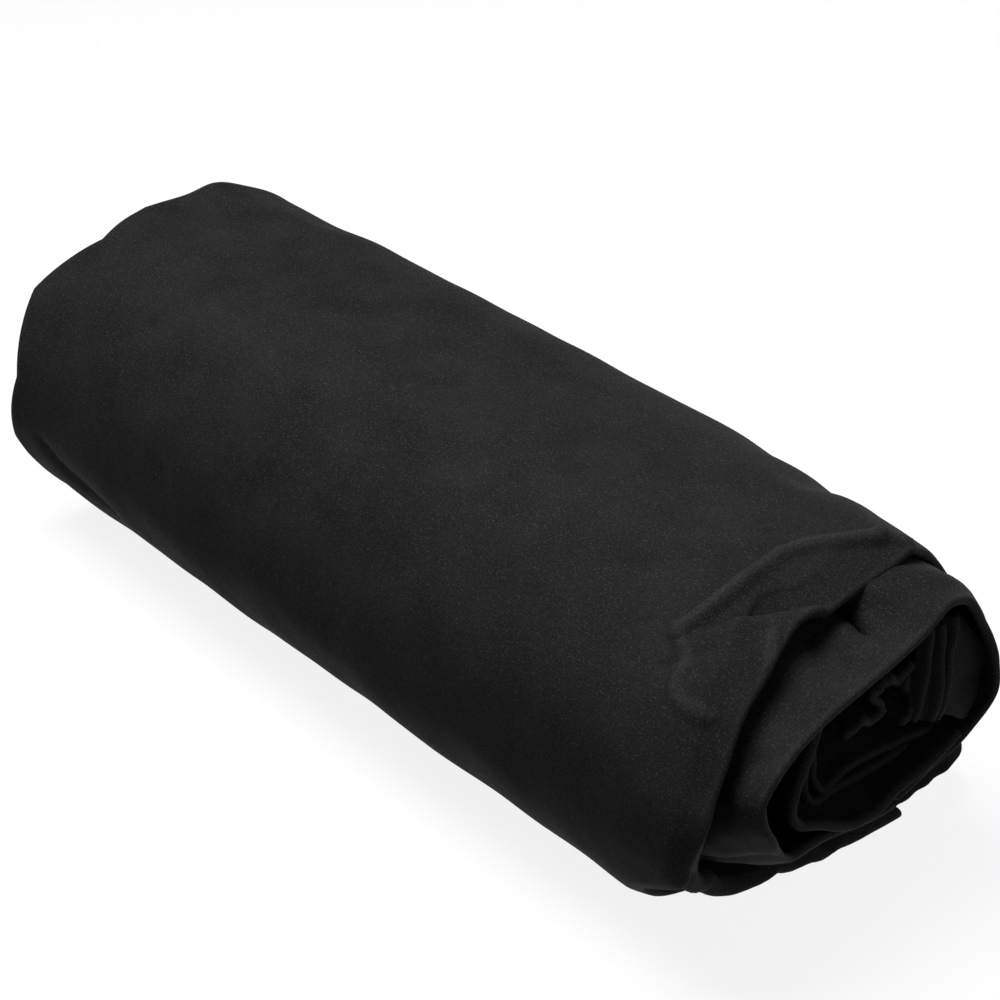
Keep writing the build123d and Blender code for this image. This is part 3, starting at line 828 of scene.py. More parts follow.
@dataclass
class Roll:
    """The rolled strip: the outer wrap, the turns inside it and the folds in the open end."""

    axis: RollAxis
    wardrobe: Wardrobe

    def outer_wrap(self) -> Layer:
        """The turn that shows all along the roll."""
        rim = (
            (-13, 165, 54.0), (-5, 164, 54.0), (8, 160, 54.0), (22, 157, 54.0), (45, 159, 54.0),
            (62, 167, 54.0), (70, 179, 54.0), (76, 188, 54.0), (86, 192.5, 53.5), (100, 196, 52.0),
            (105, 195, 51.0), (113, 194, 50.0), (127, 190.5, 49.5), (140, 188, 49.0),
            (150, 185, 50.0), (161, 182, 51.0), (173, 182.5, 52.0), (180, 181.5, 52.5),
            (195, 179, 53.0), (204, 178, 53.8), (211, 177.5, 53.6), (219, 175, 51.5),
            (231, 172, 49.3), (245, 171, 47.0), (275, 171, 42.0), (310, 170, 36.5),
            (345, 167, 37.0),
        )
        far = ((-13, -163), (30, -163), (55, -162), (66, -171), (73, -173), (98, -162), (125, -169))
        far += ((151, -159), (175, -169), (205, -171), (240, -169), (345, -167))
        marks = (
            Hollow(
                first=(
                    (135, 164), (146, 165), (154, 165), (165, 164), (180, 161), (208, 170), (217, 176)
                ),
                second=(
                    (135, 166), (144, 170), (154, 176), (166, 180), (175, 183), (200, 184), (217, 179)
                ),
                depth=6.0,
            ),
            Crease(
                ((162, 137), (164, 146), (164, 154), (162, 165), (160, 177), (162, 188), (170, 208)),
                2.3,
                1.6,
            ),
            Crease(((170, 208), (174, 215)), 1.8, 1.6),
            Crease(((162, 137), (168, 134), (171, 131), (173, 125), (177, 123), (185, 123)), 1.5, 1.4),
            Crease(((182, 151), (187, 144), (193, 135), (195, 128), (197, 117), (197, 106)), 1.4, 1.4),
            Crease(((166, 128), (176, 139)), 1.0, 2.4, Profile.GROOVE),
            Crease(((-125, 141), (-102, 167), (-89, 195)), 0.8, 5.0, Profile.GROOVE),
            Crease(((-101, 133), (-79, 160)), 0.7, 4.0, Profile.GROOVE),
            Crease(((-84, 122), (-80, 113), (-64, 97)), 0.9, 4.0, Profile.GROOVE),
            Crease(((-150, 78), (-142, 73), (-112, 66)), 1.3, 3.0, Profile.GROOVE),
            Crease(((-172, 207), (-150, 209), (-110, 211)), 2.2, 9.0),
            Crease(((130, 218), (131, 245)), 1.8, 9.0, Profile.GROOVE),
            Crease(((108, 236), (150, 236)), 2.8, 15.0, Profile.GROOVE),
            Crease(((75, 50), (150, 46)), 1.8, 20.0),
        )
        return Layer(
            "outer_wrap",
            Coil(
                (
                    (-13, 55.9), (20, 55.9), (45, 55.5), (75, 55.9), (205, 56.1), (232, 55.4),
                    (245, 53.6), (264, 48.0), (288, 41.5), (314, 38.0), (345, 38.5),
                ),
                back_flat=24.0,
            ),
            tuple(RimPoint.on_coil(*point, 13.0 if point[0] < 180 else 24.0) for point in rim),
            far,
            bend=(
                (-13, 6, 1), (86, 5, 1), (108, 7, 1), (130, 9, 1), (147, 11, 1), (160, 13, 1),
                (180, 10, 1.1), (211, 14, 1.2), (225, 40, 1.8), (245, 44, 1.8), (345, 20, 1.2),
            ),
            wall=2.6,
            rim_wall=3.4,
            rim_fade=4.0,
            marks=marks,
            swells=(Unevenness(11, 85, 0.6, 1.8), Unevenness(12, 24, 0.22, 1.6)),
            around=250,
            lengthwise=174,
        )

    def second_turn(self) -> Layer:
        """The turn that stands out of the outer wrap at the open end."""
        rim = (
            (189, 24, 30), (190, 8, 31), (191, -6, 34), (193, -17, 36), (195, -27, 38),
            (200, -38, 48), (205, -46, 58), (206, -52, 68), (206, -53, 75), (206, -49, 81),
            (205, -41, 86), (204, -31, 90), (203, -18, 93), (201, 1, 96), (199, 18, 99),
            (198, 29, 103.5), (197, 38, 101), (196, 47.5, 90), (196.5, 56, 73), (195.5, 59, 60),
            (191, 54, 45), (190, 40, 38), (189, 26, 31),
        )
        marks = (
            Crease(((164, 187), (176, 184), (187, 180)), 4.4, 2.4, Profile.GROOVE),
            Crease(((164, 186), (176, 183)), 2.0, 4.0, Profile.GROOVE),
            Crease(((188, 212), (188, 236), (187, 266)), 1.8, 5.0),
            Crease(((196, 150), (186, 158), (176, 160)), 1.0, 3.0, Profile.GROOVE),
            Crease(((198, 112), (190, 104), (176, 100)), 1.2, 3.5, Profile.GROOVE),
            Crease(((196, 62), (186, 54), (172, 50)), 1.4, 4.0, Profile.GROOVE),
        )
        return Layer(
            "second_turn",
            Coil(
                (
                    (-25, 43.0), (176, 44.0), (192, 47.8), (215, 49.0),
                    (245, 48.3), (268, 41.0), (300, 33.0), (335, 31.5),
                ),
                back_flat=20.0,
            ),
            spaced_rim(-25, 335, rim),
            ((-25, -160), (335, -158)),
            bend=(
                (-25, 60, 2), (140, 60, 2), (175, 70, 1.0), (188, 48, 0.9), (197, 28, 1.4),
                (262, 28, 1.4), (290, 50, 1.6), (335, 60, 2),
            ),
            wall=2.6,
            rim_wall=3.0,
            rim_fade=4.0,
            marks=marks,
            swells=(Unevenness(21, 60, 0.6, 1.8), Unevenness(22, 17, 0.25)),
            around=260,
            lengthwise=130,
        )

    def lower_ply(self) -> Layer:
        """The folded-in side of the outer wrap, where it shows under the second turn."""
        rim = (
            (172, 46, 7), (171, 32, 6), (169, 16, 5), (167, 2, 4.5), (166, -12, 5.5),
            (166, -24, 8.5), (168, -36, 16), (173, -47, 30), (180, -53, 43), (186, -58, 56),
            (188, -61, 70), (187, -58, 86),
        )
        return Layer(
            "lower_ply",
            Coil(((-38, 48.5), (120, 50.5))),
            spaced_rim(-38, 120, rim),
            ((-38, -166), (120, -166)),
            bend=((-38, 24, 1.2), (120, 24, 1.2)),
            wall=2.4,
            rim_wall=7.0,
            rim_fade=9.0,
            marks=(
                Crease(((174, 2), (160, 14), (150, 30)), 2.2, 2.8, Profile.GROOVE),
                Crease(((174, -12), (160, -6)), 1.4, 2.6),
                Crease(((176, 30), (164, 46)), 1.8, 3.0, Profile.GROOVE),
                Crease(((186, 70), (172, 62)), 1.6, 3.0, Profile.GROOVE),
            ),
            swells=(Unevenness(31, 40, 0.5, 1.6), Unevenness(32, 13, 0.35)),
            around=110,
            lengthwise=100,
        )

    def third_turn(self) -> Layer:
        """The squared turn inside the second one."""
        rim = (
            (190, 51, 45), (192, 35, 41), (192, 21, 38), (193, 12, 35), (193, 3, 35), (194, -6, 39),
            (194, -16, 44), (194, -24, 48), (194, -27, 53), (194, -26, 60), (193, -21, 69),
            (189, -10, 78), (184, 8, 86), (180, 30, 84),
        )
        base = ((46, 40), (30, 38), (14, 37), (0, 38), (-12, 42), (-22, 48), (-24, 55), (-20, 68))
        base += ((-6, 78), (12, 82), (26, 80))
        return Layer(
            "third_turn",
            Ring(-40, 250, base),
            spaced_rim(-40, 250, rim),
            ((-40, -152), (250, -150)),
            bend=((-40, 30, 1.0), (250, 30, 1.0)),
            wall=2.2,
            rim_wall=3.4,
            rim_fade=4.0,
            swells=(Unevenness(41, 40, 0.6, 1.5), Unevenness(42, 11, 0.22)),
            around=190,
            lengthwise=110,
        )

    def inner_folds(self) -> list[Layer]:
        """The two folds that lie in the third turn at the open end."""
        upper = (
            (181, 54, 43), (182, 46, 44), (182, 35, 45), (182, 24, 46), (182, 12, 46), (182, 5, 44),
            (182, 0, 42), (182, -4, 47), (182, -6, 54), (181, -6, 60),
        )
        upper_base = ((58, 44), (48, 46), (36, 49), (22, 50), (10, 49), (2, 48), (0, 54), (-1, 61))
        lower = (
            (181, 54, 41), (182, 43, 41), (182, 34, 41), (182, 16, 40), (182, 4, 40), (183, -2, 40),
            (184, -8, 43), (183, -10, 49), (182, -8, 56), (181, -6, 62),
        )
        lower_base = ((54, 42), (40, 42), (24, 41), (8, 41), (-2, 43), (-6, 48), (-5, 56), (-3, 62))
        folds = []
        for name, rim, base, seed in (
            ("upper_fold", upper, upper_base, 51),
            ("lower_fold", lower, lower_base, 52),
        ):
            folds.append(
                Layer(
                    name,
                    Ring(-60, 150, base),
                    spaced_rim(-60, 150, rim),
                    ((-60, 112), (150, 112)),
                    bend=((-60, 30, 1.0), (150, 30, 1.0)),
                    wall=2.0,
                    rim_wall=2.8,
                    rim_fade=3.0,
                    swells=(Unevenness(seed, 26, 0.5, 1.4), Unevenness(seed + 10, 9, 0.2)),
                    around=130,
                    lengthwise=70,
                )
            )
        return folds

    def gathered_tunnel(self) -> Layer:
        """The waist tunnel, drawn together by its elastic and hanging in pleats."""
        rim = (
            (186, 3, 62), (188, 8, 67), (187, 12, 64), (187, 18, 66), (186, 14, 72), (187, 19, 76),
            (186, 25, 73), (187, 30, 77), (186, 29, 70), (188, 31, 64), (187, 27, 57),
        )
        base = ((5, 60), (10, 63), (15, 64), (16, 70), (21, 73), (27, 73), (29, 68), (28, 60))
        return Layer(
            "gathered_tunnel",
            Ring(130, 330, base),
            spaced_rim(130, 330, rim),
            ((130, 120), (330, 120)),
            bend=((130, 34, 1.0), (330, 34, 1.0)),
            wall=1.6,
            rim_wall=2.8,
            rim_fade=3.0,
            swells=(Unevenness(61, 12, 0.9, 0.6), Unevenness(62, 5, 0.25)),
            around=190,
            lengthwise=70,
        )

    def tunnel_pleats(self) -> PleatedPanel:
        """The mouth of the waist tunnel: three pleats hanging in the open end."""
        return PleatedPanel(
            "tunnel_pleats",
            top=((187, 30, 90), (189, 36, 91), (189, 42, 92), (190, 50, 84), (192, 57, 74)),
            foot=((187, 29, 58), (190, 34, 57), (191, 40, 57), (190, 52, 50), (188, 61, 47)),
        )

    def core(self) -> Layer:
        """The innermost turn, seen only from the far end."""
        rim = tuple(RimPoint.on_coil(angle, 80, 18.0, 13.0) for angle in (-60, 40, 140, 240))
        return Layer(
            "core_turn",
            Coil(((-60, 18.0), (240, 15.0))),
            rim,
            ((-60, -146), (240, -144)),
            swells=(Unevenness(71, 40, 0.8, 1.5),),
            around=110,
            lengthwise=80,
        )

    def build(self) -> None:
        plan: list[tuple[Layer | PleatedPanel, Slot, tuple[str, ...], tuple[float, float]]] = [
            (self.outer_wrap(), Slot.DECK, ("deck_panel", "rim_hem", "rim_shock_cord"), (0.37, 0.40)),
            (self.second_turn(), Slot.DECK, ("deck_panel",), (0.37, 0.33)),
            (self.lower_ply(), Slot.DECK, ("deck_panel",), (0.35, 0.16)),
            (self.third_turn(), Slot.DECK, ("deck_panel",), (0.35, 0.15)),
            *[(fold, Slot.DECK, ("deck_panel",), (0.075, 0.08)) for fold in self.inner_folds()],
            (self.gathered_tunnel(), Slot.TUNNEL, ("waist_tunnel",), (0.09, 0.10)),
            (self.tunnel_pleats(), Slot.TUNNEL, ("waist_tunnel",), (0.045, 0.032)),
            (self.core(), Slot.DECK, ("deck_panel",), (0.23, 0.14)),
        ]
        for layer, slot, nodes, flat in plan:
            piece = layer.build(self.axis)
            dress(piece, self.wardrobe.made[slot])
            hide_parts(*nodes)
            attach(piece, Body.ROLL.value)
            log.info("%s: %d faces", piece.name, len(piece.data.polygons))


@dataclass(frozen=True)
class PleatedPanel:
    """Thin cloth with pleats that run down it, facing out of the open end.

    Args:
        name: The piece's name.
        top: (along, across, height) of points on its upper edge.
        foot: The same on its lower edge.
        folds: Where the pleats lie, as shares of its width.
        depth: How far a pleat stands out.
        ply: Thickness of the cloth.
        columns: Steps across it.
        rows: Steps down it.
    """

    name: str
    top: tuple[Point, ...]
    foot: tuple[Point, ...]
    folds: tuple[float, ...] = (0.05, 0.17, 0.31)
    depth: float = 4.2
    ply: float = 1.2
    columns: int = 120
    rows: int = 60

    def edge(self, points: tuple[Point, ...]) -> Array:
        """One edge, smooth through its points."""
        table = np.array(points, float)
        runs = np.linalg.norm(np.diff(table, axis=0), axis=1)
        knots = np.concatenate([[0], np.cumsum(runs)]) / runs.sum()
        return smooth_line(knots, table, np.linspace(0, 1, self.columns))

    def build(self, axis: RollAxis) -> Piece:
        """Makes the panel's mesh."""
        top, foot = self.edge(self.top), self.edge(self.foot)
        across = np.linspace(0, 1, self.columns)[None, :]
        down = np.linspace(0, 1, self.rows)[:, None]
        grid = top[None] * (1 - down[..., None]) + foot[None] * down[..., None]
        crest = np.zeros((self.rows, self.columns))
        for number, place in enumerate(self.folds):
            drift = place + 0.05 * math.sin(2.1 * number) * down
            crest = np.maximum(crest, np.exp(-((across - drift) / 0.035) ** 2))
        swell = Unevenness(91, 16, 0.4).at(grid[..., 2], grid[..., 1])
        grid[..., 0] += self.depth * crest * (0.65 + 0.35 * np.sin(3.0 * down + 0.6)) + swell
        index = np.arange(self.rows * self.columns).reshape(self.rows, self.columns)
        piece = make_piece(self.name, axis.place(grid), grid_faces(index, flipped=True))
        set_cloth_map(piece, grid[..., 1:] * MM)
        # paler pleat crests: partly wear, partly painted highlight
        set_point_values(piece, "worn", 0.5 * crest**3)
        return give_thickness(piece, self.ply)


# ------------------------------------------------------------------ free end
@dataclass
class FreeEnd:
    """The deck's free end on the floor behind the roll, with its elastic hem and cord.

    Args:
        axis: Where the roll lies.
        wardrobe: The finishes.
        fold_across: Where the cloth leaves the roll.
        fold_height: Height of its underside there.
        slope: Degrees that it rises away from the roll.
        length: From the fold to the middle of its hem.
        corner: Radius of its corners.
        near_edge: Its side edge at the open end.
        far_edge: Its side edge at the far end.
        hem_radius: Radius of the hem.
        cord_radius: Radius of the shock cord.
        cord_spacing: Distance between the cord's two ends in the lock.
        cord_bend: Radius of the cord where it leaves the hem.
        cord_end: How far out the cord's ends are.
        middle: Where the lock stands along the hem.
        ply: Thickness of the cloth.
        tuck_length: Distance from the fold within which its sides are drawn in.
        tuck: How much they are drawn in for each millimetre nearer the fold than that.
        blend_back: How far in front of the fold the bend starts.
        blend_out: How far beyond the fold it ends.
    """

    axis: RollAxis
    wardrobe: Wardrobe
    fold_across: float = 13.5
    fold_height: float = 0.6
    slope: float = 9.5
    length: float = 70.0
    corner: float = 9.0
    near_edge: float = 169.5
    far_edge: float = -169.5
    hem_radius: float = 3.3
    cord_radius: float = 2.0
    cord_spacing: float = 4.2
    cord_bend: float = 6.0
    cord_end: float = 93.0
    middle: float = 6.0
    ply: float = 1.3
    tuck_length: float = 18.0
    tuck: float = 0.35
    blend_back: float = 1.5
    blend_out: float = 3.5

    def on_flap(self, along: float, out: float, up: float = 0.0) -> Point:
        """The point this far out from the fold and this high above the cloth's underside."""
        turn = math.radians(self.slope if out > 0 else 0.0)
        across = self.fold_across + out * math.cos(turn) - up * math.sin(turn)
        return along, across, self.fold_height + out * math.sin(turn) + up * math.cos(turn)

    def risen(self, out: float) -> float:
        """0 up to 20 mm from the fold and 1 from 60 mm, where the cloth meets its hem half-way up."""
        return ease((out - 20) / 40)

    def inset(self, out: float) -> float:
        """How far the cloth stands in from the side edge: tucked at the fold, round at the corner."""
        past = max(out - (self.length - self.corner), 0.0)
        tuck = self.tuck * max(self.tuck_length - out, 0.0)
        return tuck + self.corner - math.sqrt(max(self.corner**2 - past**2, 0.0))

    def cloth(self) -> Piece:
        """The single ply, puckered towards its hem."""
        rows, columns = 60, 240
        out = np.concatenate([np.linspace(-16, 0, 6), np.linspace(1, self.length, rows - 6)])
        grid = np.zeros((rows, columns, 3))
        puckers = Unevenness(81, 15, 1.0)
        swells = Unevenness(82, 70, 0.8)
        for i, o in enumerate(out):
            inset = self.inset(o)
            along = np.linspace(self.far_edge + inset, self.near_edge - inset, columns)
            edge = np.minimum(self.length - o, np.minimum(along - along[0], along[-1] - along) + 0.5)
            lift = puckers.at(along, np.full(columns, o * 0.25)) * np.exp(-(edge / 16)) * ease(edge / 5)
            lift = lift + swells.at(along, np.full(columns, o)) * ease(edge / 20)
            lift = np.maximum(lift, -0.4 - 0.1 * max(o, 0)) * ease((o - 3) / 14)
            up = self.ply / 2 + self.hem_radius * 0.55 * self.risen(o)
            for j, x in enumerate(along):
                grid[i, j] = self.on_flap(x, o, up)
            grid[:, :, 2][i] += lift
        index = np.arange(rows * columns).reshape(rows, columns)
        piece = make_piece("free_end_cloth", self.axis.place(grid), grid_faces(index))
        set_cloth_map(piece, grid[..., :2] * MM)
        set_point_values(piece, "worn", np.zeros((rows, columns)))
        return give_thickness(piece, self.ply)

    def hem_line(self, side: int) -> Array:
        """The middle line of one half of the hem, from the fold to the opening for the cord."""
        up = self.hem_radius
        edge = self.near_edge if side > 0 else self.far_edge
        reach = self.length - self.corner
        outs = np.linspace(3, reach, 14)
        points = [self.on_flap(edge - side * self.inset(out), out, up) for out in outs]
        for turn in np.linspace(0, math.pi / 2, 14)[1:]:
            inset = self.corner * (1 - math.cos(turn))
            out = reach + self.corner * math.sin(turn)
            points.append(self.on_flap(edge - side * inset, out, up))
        stop = self.middle + side * (self.cord_spacing / 2 + self.cord_bend)
        start = edge - side * self.corner
        points += [self.on_flap(x, self.length, up) for x in np.linspace(start, stop, 40)[1:]]
        return np.array(points)

    def hem(self, side: int) -> Piece:
        """One half of the gathered hem, swept along its line."""
        sweep = GatheredTube(
            name=f"free_end_hem_{'near' if side > 0 else 'far'}",
            radius=self.hem_radius * MM,
            pucker=0.16,
            pitch=9.0 * MM,
            material=self.wardrobe.made[Slot.HEM],
        )
        return sweep.build(self.axis.place(self.hem_line(side)))

    def cord(self, side: int) -> Piece:
        """One end of the shock cord, out of the hem and through the lock to its stop."""
        up = self.hem_radius
        outside = self.middle + side * (self.cord_spacing / 2 + self.cord_bend)
        points = [self.on_flap(outside + side * run, self.length, up) for run in (24, 16, 8, 0)]
        for turn in np.linspace(0, math.pi / 2, 8)[1:]:
            along = outside - side * self.cord_bend * math.sin(turn)
            points.append(self.on_flap(along, self.length + self.cord_bend * (1 - math.cos(turn)), up))
        inside = self.middle + side * self.cord_spacing / 2
        for out in np.linspace(self.length + self.cord_bend, self.cord_end, 12)[1:]:
            points.append(self.on_flap(inside, out, up))
        sweep = GatheredTube(
            name=f"free_end_cord_{'near' if side > 0 else 'far'}",
            radius=self.cord_radius * MM,
            pucker=0.03,
            pitch=1.6 * MM,
            material=self.wardrobe.made[Slot.CORD],
        )
        return sweep.build(self.axis.place(np.array(points)))

    def hem_stitches(self) -> Piece:
        """The row of stitches that closes the hem, on the cloth beside it."""
        inner = self.hem_radius + 2.2
        points = []
        for side in (1, -1):
            edge = (self.near_edge if side > 0 else self.far_edge) - side * inner
            corner = self.corner - inner
            half = []
            for out in np.linspace(6, self.length - self.corner, 14):
                tucked = edge - side * self.inset(out)
                half.append(self.on_flap(tucked, out, 3.2 * self.risen(out) + 1.4))
            for turn in np.linspace(0, math.pi / 2, 14)[1:]:
                out = self.length - self.corner + corner * math.sin(turn)
                lift = 1.4 + 2.0 * self.risen(out)
                half.append(self.on_flap(edge - side * corner * (1 - math.cos(turn)), out, lift))
            points += half if side > 0 else half[::-1]
        row = StitchRow(
            name="hem_stitches",
            length=2.6 * MM,
            gap=1.2 * MM,
            radius=0.32 * MM,
            material=self.wardrobe.made[Slot.CORD],
        )
        return row.build(self.axis.place(np.array(points)))

    def build(self) -> None:
        """Builds the free end."""
        cloth = dress(self.cloth(), self.wardrobe.made[Slot.DECK])
        hems = [dress(self.hem(side), self.wardrobe.made[Slot.HEM]) for side in (1, -1)]
        cords = [dress(self.cord(side), self.wardrobe.made[Slot.CORD]) for side in (1, -1)]
        stitches = dress(self.hem_stitches(), self.wardrobe.made[Slot.CORD])
        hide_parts("deck_flap")
        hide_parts("flap_rim_hem")
        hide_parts("flap_shock_cord")
        bend = (self.fold_across - self.blend_back, self.fold_across + self.blend_out)
        start, end = self.axis.place(np.array([(0, across, self.fold_height) for across in bend]))
        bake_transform(cloth)
        for piece in (*hems, *cords, stitches):
            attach(piece, Body.FREE_END.value)
        for piece in (cloth, *hems, *cords, stitches):
            log.info("%s: %d faces", piece.name, len(piece.data.polygons))


# ------------------------------------------------------------------ geometry nodes
class NodeGroup(NodeTree):
    """A Geometry Nodes tree under construction, with named inputs."""

    def __init__(self, name: str) -> None:
        """Starts the tree with a geometry input and output."""
        super().__init__(bpy.data.node_groups.new(name, "GeometryNodeTree"))
        for way in ("INPUT", "OUTPUT"):
            self.tree.interface.new_socket("Geometry", in_out=way, socket_type="NodeSocketGeometry")
        self.start = self.node("NodeGroupInput")
        self.end = self.node("NodeGroupOutput")
        self.values: dict[str, object] = {}

    def number(self, name: str, value: float) -> Socket:
        """A named number input, and the value that the modifier gets for it."""
        made = self.tree.interface.new_socket(name, in_out="INPUT", socket_type="NodeSocketFloat")
        self.values[made.identifier] = float(value)
        return self.start.outputs[name]

    def finish_input(self, name: str, value: bpy.types.Material) -> Socket:
        """A named material input, and the material that the modifier gets for it."""
        made = self.tree.interface.new_socket(name, in_out="INPUT", socket_type="NodeSocketMaterial")
        self.values[made.identifier] = value
        return self.start.outputs[name]

    def close(self, geometry: Socket, material: Socket) -> None:
        """Ends the tree: real geometry, one material."""
        real = self.node("GeometryNodeRealizeInstances")
        paint = self.node("GeometryNodeSetMaterial")
        self.join(geometry, real.inputs["Geometry"])
        self.join(real.outputs["Geometry"], paint.inputs["Geometry"])
        self.join(material, paint.inputs["Material"])
        self.join(paint.outputs["Geometry"], self.end.inputs["Geometry"])

    def run_on(self, name: str, line: Array) -> Piece:
        """Runs the tree on a line of points and returns the result as a plain mesh object."""
        curve = bpy.data.curves.new(name + "_line", "CURVE")
        curve.dimensions = "3D"
        spline = curve.splines.new("POLY")
        spline.points.add(len(line) - 1)
        for point, place in zip(spline.points, line):
            point.co = (*place, 1.0)
        holder = add_object(name + "_line", curve)
        modifier = holder.modifiers.new("shape", "NODES")
        modifier.node_group = self.tree
        for identifier, value in self.values.items():
            modifier[identifier] = value
        mesh = shaped_mesh(holder, name)
        bpy.data.objects.remove(holder)
        return add_object(name, mesh)


@dataclass(frozen=True)
class GatheredTube:
    """A round hem or cord along a line, with evenly gathered puckers.

    Args:
        name: The piece's name.
        radius: Its radius in metres.
        pucker: Share of the radius that the puckers rise and fall by.
        pitch: Distance between two puckers in metres.
        material: Its finish.
        sides: Faces round it.
        steps: Steps along one pucker.
        wander: Pace of the change from pucker to pucker, per metre.
    """

    name: str
    radius: float
    pucker: float
    pitch: float
    material: bpy.types.Material
    sides: int = 20
    steps: int = 6
    wander: float = 90.0

    def build(self, line: Array) -> Piece:
        """Sweeps the tube along a line of points in metres."""
        group = NodeGroup(self.name + "_shape")
        radius = group.number("Radius", self.radius)
        pucker = group.number("Pucker", self.pucker)
        pace = group.number("Turns Per Metre", 2 * math.pi / self.pitch)
        step = group.number("Step", self.pitch / self.steps)
        finish = group.finish_input("Finish", self.material)
        fine = group.node("GeometryNodeResampleCurve", mode="LENGTH")
        group.join(group.start.outputs["Geometry"], fine.inputs["Curve"])
        group.join(step, fine.inputs["Length"])
        run = group.node("GeometryNodeSplineParameter").outputs["Length"]
        wave = group.math("SINE", group.math("MULTIPLY", run, pace), 0.0)
        uneven = group.node("ShaderNodeTexNoise", noise_dimensions="1D")
        group.join(group.math("MULTIPLY", run, self.wander), uneven.inputs["W"])
        wave = group.math("MULTIPLY", wave, uneven.outputs["Fac"])
        share = group.math("ADD", group.math("MULTIPLY", wave, pucker), 1.0)
        sized = group.node("GeometryNodeSetCurveRadius")
        group.join(fine.outputs["Curve"], sized.inputs["Curve"])
        group.join(group.math("MULTIPLY", share, radius), sized.inputs["Radius"])
        ring = group.node("GeometryNodeCurvePrimitiveCircle")
        ring.inputs["Resolution"].default_value = self.sides
        ring.inputs["Radius"].default_value = 1.0
        skin = group.node("GeometryNodeCurveToMesh")
        group.join(sized.outputs["Curve"], skin.inputs["Curve"])
        group.join(ring.outputs["Curve"], skin.inputs["Profile Curve"])
        if "Scale" in skin.inputs:
            group.join(group.math("MULTIPLY", share, radius), skin.inputs["Scale"])
        skin.inputs["Fill Caps"].default_value = True
        smooth = group.node("GeometryNodeSetShadeSmooth")
        group.join(skin.outputs["Mesh"], smooth.inputs["Geometry"])
        group.close(smooth.outputs["Geometry"], finish)
        piece = group.run_on(self.name, line)
        points = np.zeros(len(piece.data.vertices) * 3, np.float32)
        piece.data.vertices.foreach_get("co", points)
        places = points.reshape(-1, 3)
        set_cloth_map(piece, places[:, :2])
        set_point_values(piece, "worn", np.full(len(places), 0.2))
        return piece


@dataclass(frozen=True)
class StitchRow:
    """A row of stitches along a line.

    Args:
        name: The piece's name.
        length: Length of one stitch in metres.
        gap: Distance between two stitches in metres.
        radius: Radius of the thread in metres.
        material: Its finish.
    """

    name: str
    length: float
    gap: float
    radius: float
    material: bpy.types.Material

    def build(self, line: Array) -> Piece:
        """Lays the stitches along a line of points in metres."""
        group = NodeGroup(self.name + "_row")
        length = group.number("Stitch Length", self.length)
        gap = group.number("Gap", self.gap)
        radius = group.number("Thread Radius", self.radius)
        finish = group.finish_input("Thread", self.material)
        spots = group.node("GeometryNodeCurveToPoints", mode="LENGTH")
        group.join(group.start.outputs["Geometry"], spots.inputs["Curve"])
        group.join(group.math("ADD", length, gap), spots.inputs["Length"])
        bead = group.node("GeometryNodeMeshUVSphere")
        bead.inputs["Segments"].default_value = 8
        bead.inputs["Rings"].default_value = 5
        bead.inputs["Radius"].default_value = 1.0
        size = group.node("ShaderNodeCombineXYZ")
        group.join(radius, size.inputs["X"])
        group.join(radius, size.inputs["Y"])
        group.join(group.math("MULTIPLY", length, 0.5), size.inputs["Z"])
        placed = group.node("GeometryNodeInstanceOnPoints")
        group.join(spots.outputs["Points"], placed.inputs["Points"])
        group.join(bead.outputs["Mesh"], placed.inputs["Instance"])
        group.join(spots.outputs["Rotation"], placed.inputs["Rotation"])
        group.join(size.outputs["Vector"], placed.inputs["Scale"])
        group.close(placed.outputs["Instances"], finish)
        return group.run_on(self.name, line)


# ------------------------------------------------------------------ hardware
@dataclass(frozen=True)
class Fittings:
    """Every CAD node with its finish, and the lock's spring.

    Args:
        wardrobe: The finishes.
        press_travel: How far the lock's plunger can be pressed; not used.
        nodes: (node, slot) pairs.
    """

    wardrobe: Wardrobe
    press_travel: float = 2.8
    nodes: tuple[tuple[str, Slot], ...] = (
        ("rim_shock_cord", Slot.CORD),
        ("waist_elastic", Slot.ELASTIC),
        ("tunnel_seam_tape", Slot.TAPE),
        ("suspender_left", Slot.WEBBING),
        ("suspender_right", Slot.WEBBING),
        ("suspender_patches", Slot.TAPE),
        ("ladder_lock_left", Slot.MOULDED),
        ("ladder_lock_right", Slot.MOULDED),
        ("grab_loop", Slot.WEBBING),
        ("cord_lock_body", Slot.MOULDED),
        ("cord_lock_plunger", Slot.MOULDED),
        ("cord_lock_spring", Slot.SPRING),
        ("cord_end_stop", Slot.MOULDED),
        ("deck_panel", Slot.DECK),
        ("rim_hem", Slot.HEM),
        ("waist_tunnel", Slot.TUNNEL),
        ("deck_flap", Slot.DECK),
        ("flap_rim_hem", Slot.HEM),
        ("flap_shock_cord", Slot.CORD),
    )

    def dress(self) -> None:
        """Gives every node its finish."""
        for name, slot in self.nodes:
            self.wardrobe.dress_node(name, slot)
            log.info("%s: %s", name, slot.value)
        self.pressed_spring()

    def pressed_spring(self) -> None:
        """A copy of the lock's spring with its doubled points merged, riding on the free end."""
        mesh = bpy.data.objects["cord_lock_spring"].data.copy()
        wire = bmesh.new()
        wire.from_mesh(mesh)
        bmesh.ops.remove_doubles(wire, verts=wire.verts, dist=1e-6)
        wire.to_mesh(mesh)
        wire.free()
        piece = add_object("lock_spring_coils", mesh)
        dress(piece, self.wardrobe.made[Slot.SPRING])
        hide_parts("cord_lock_spring")
        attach(piece, Body.FREE_END.value)
        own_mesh(piece)
        log.info("%s: %d faces", piece.name, len(mesh.polygons))


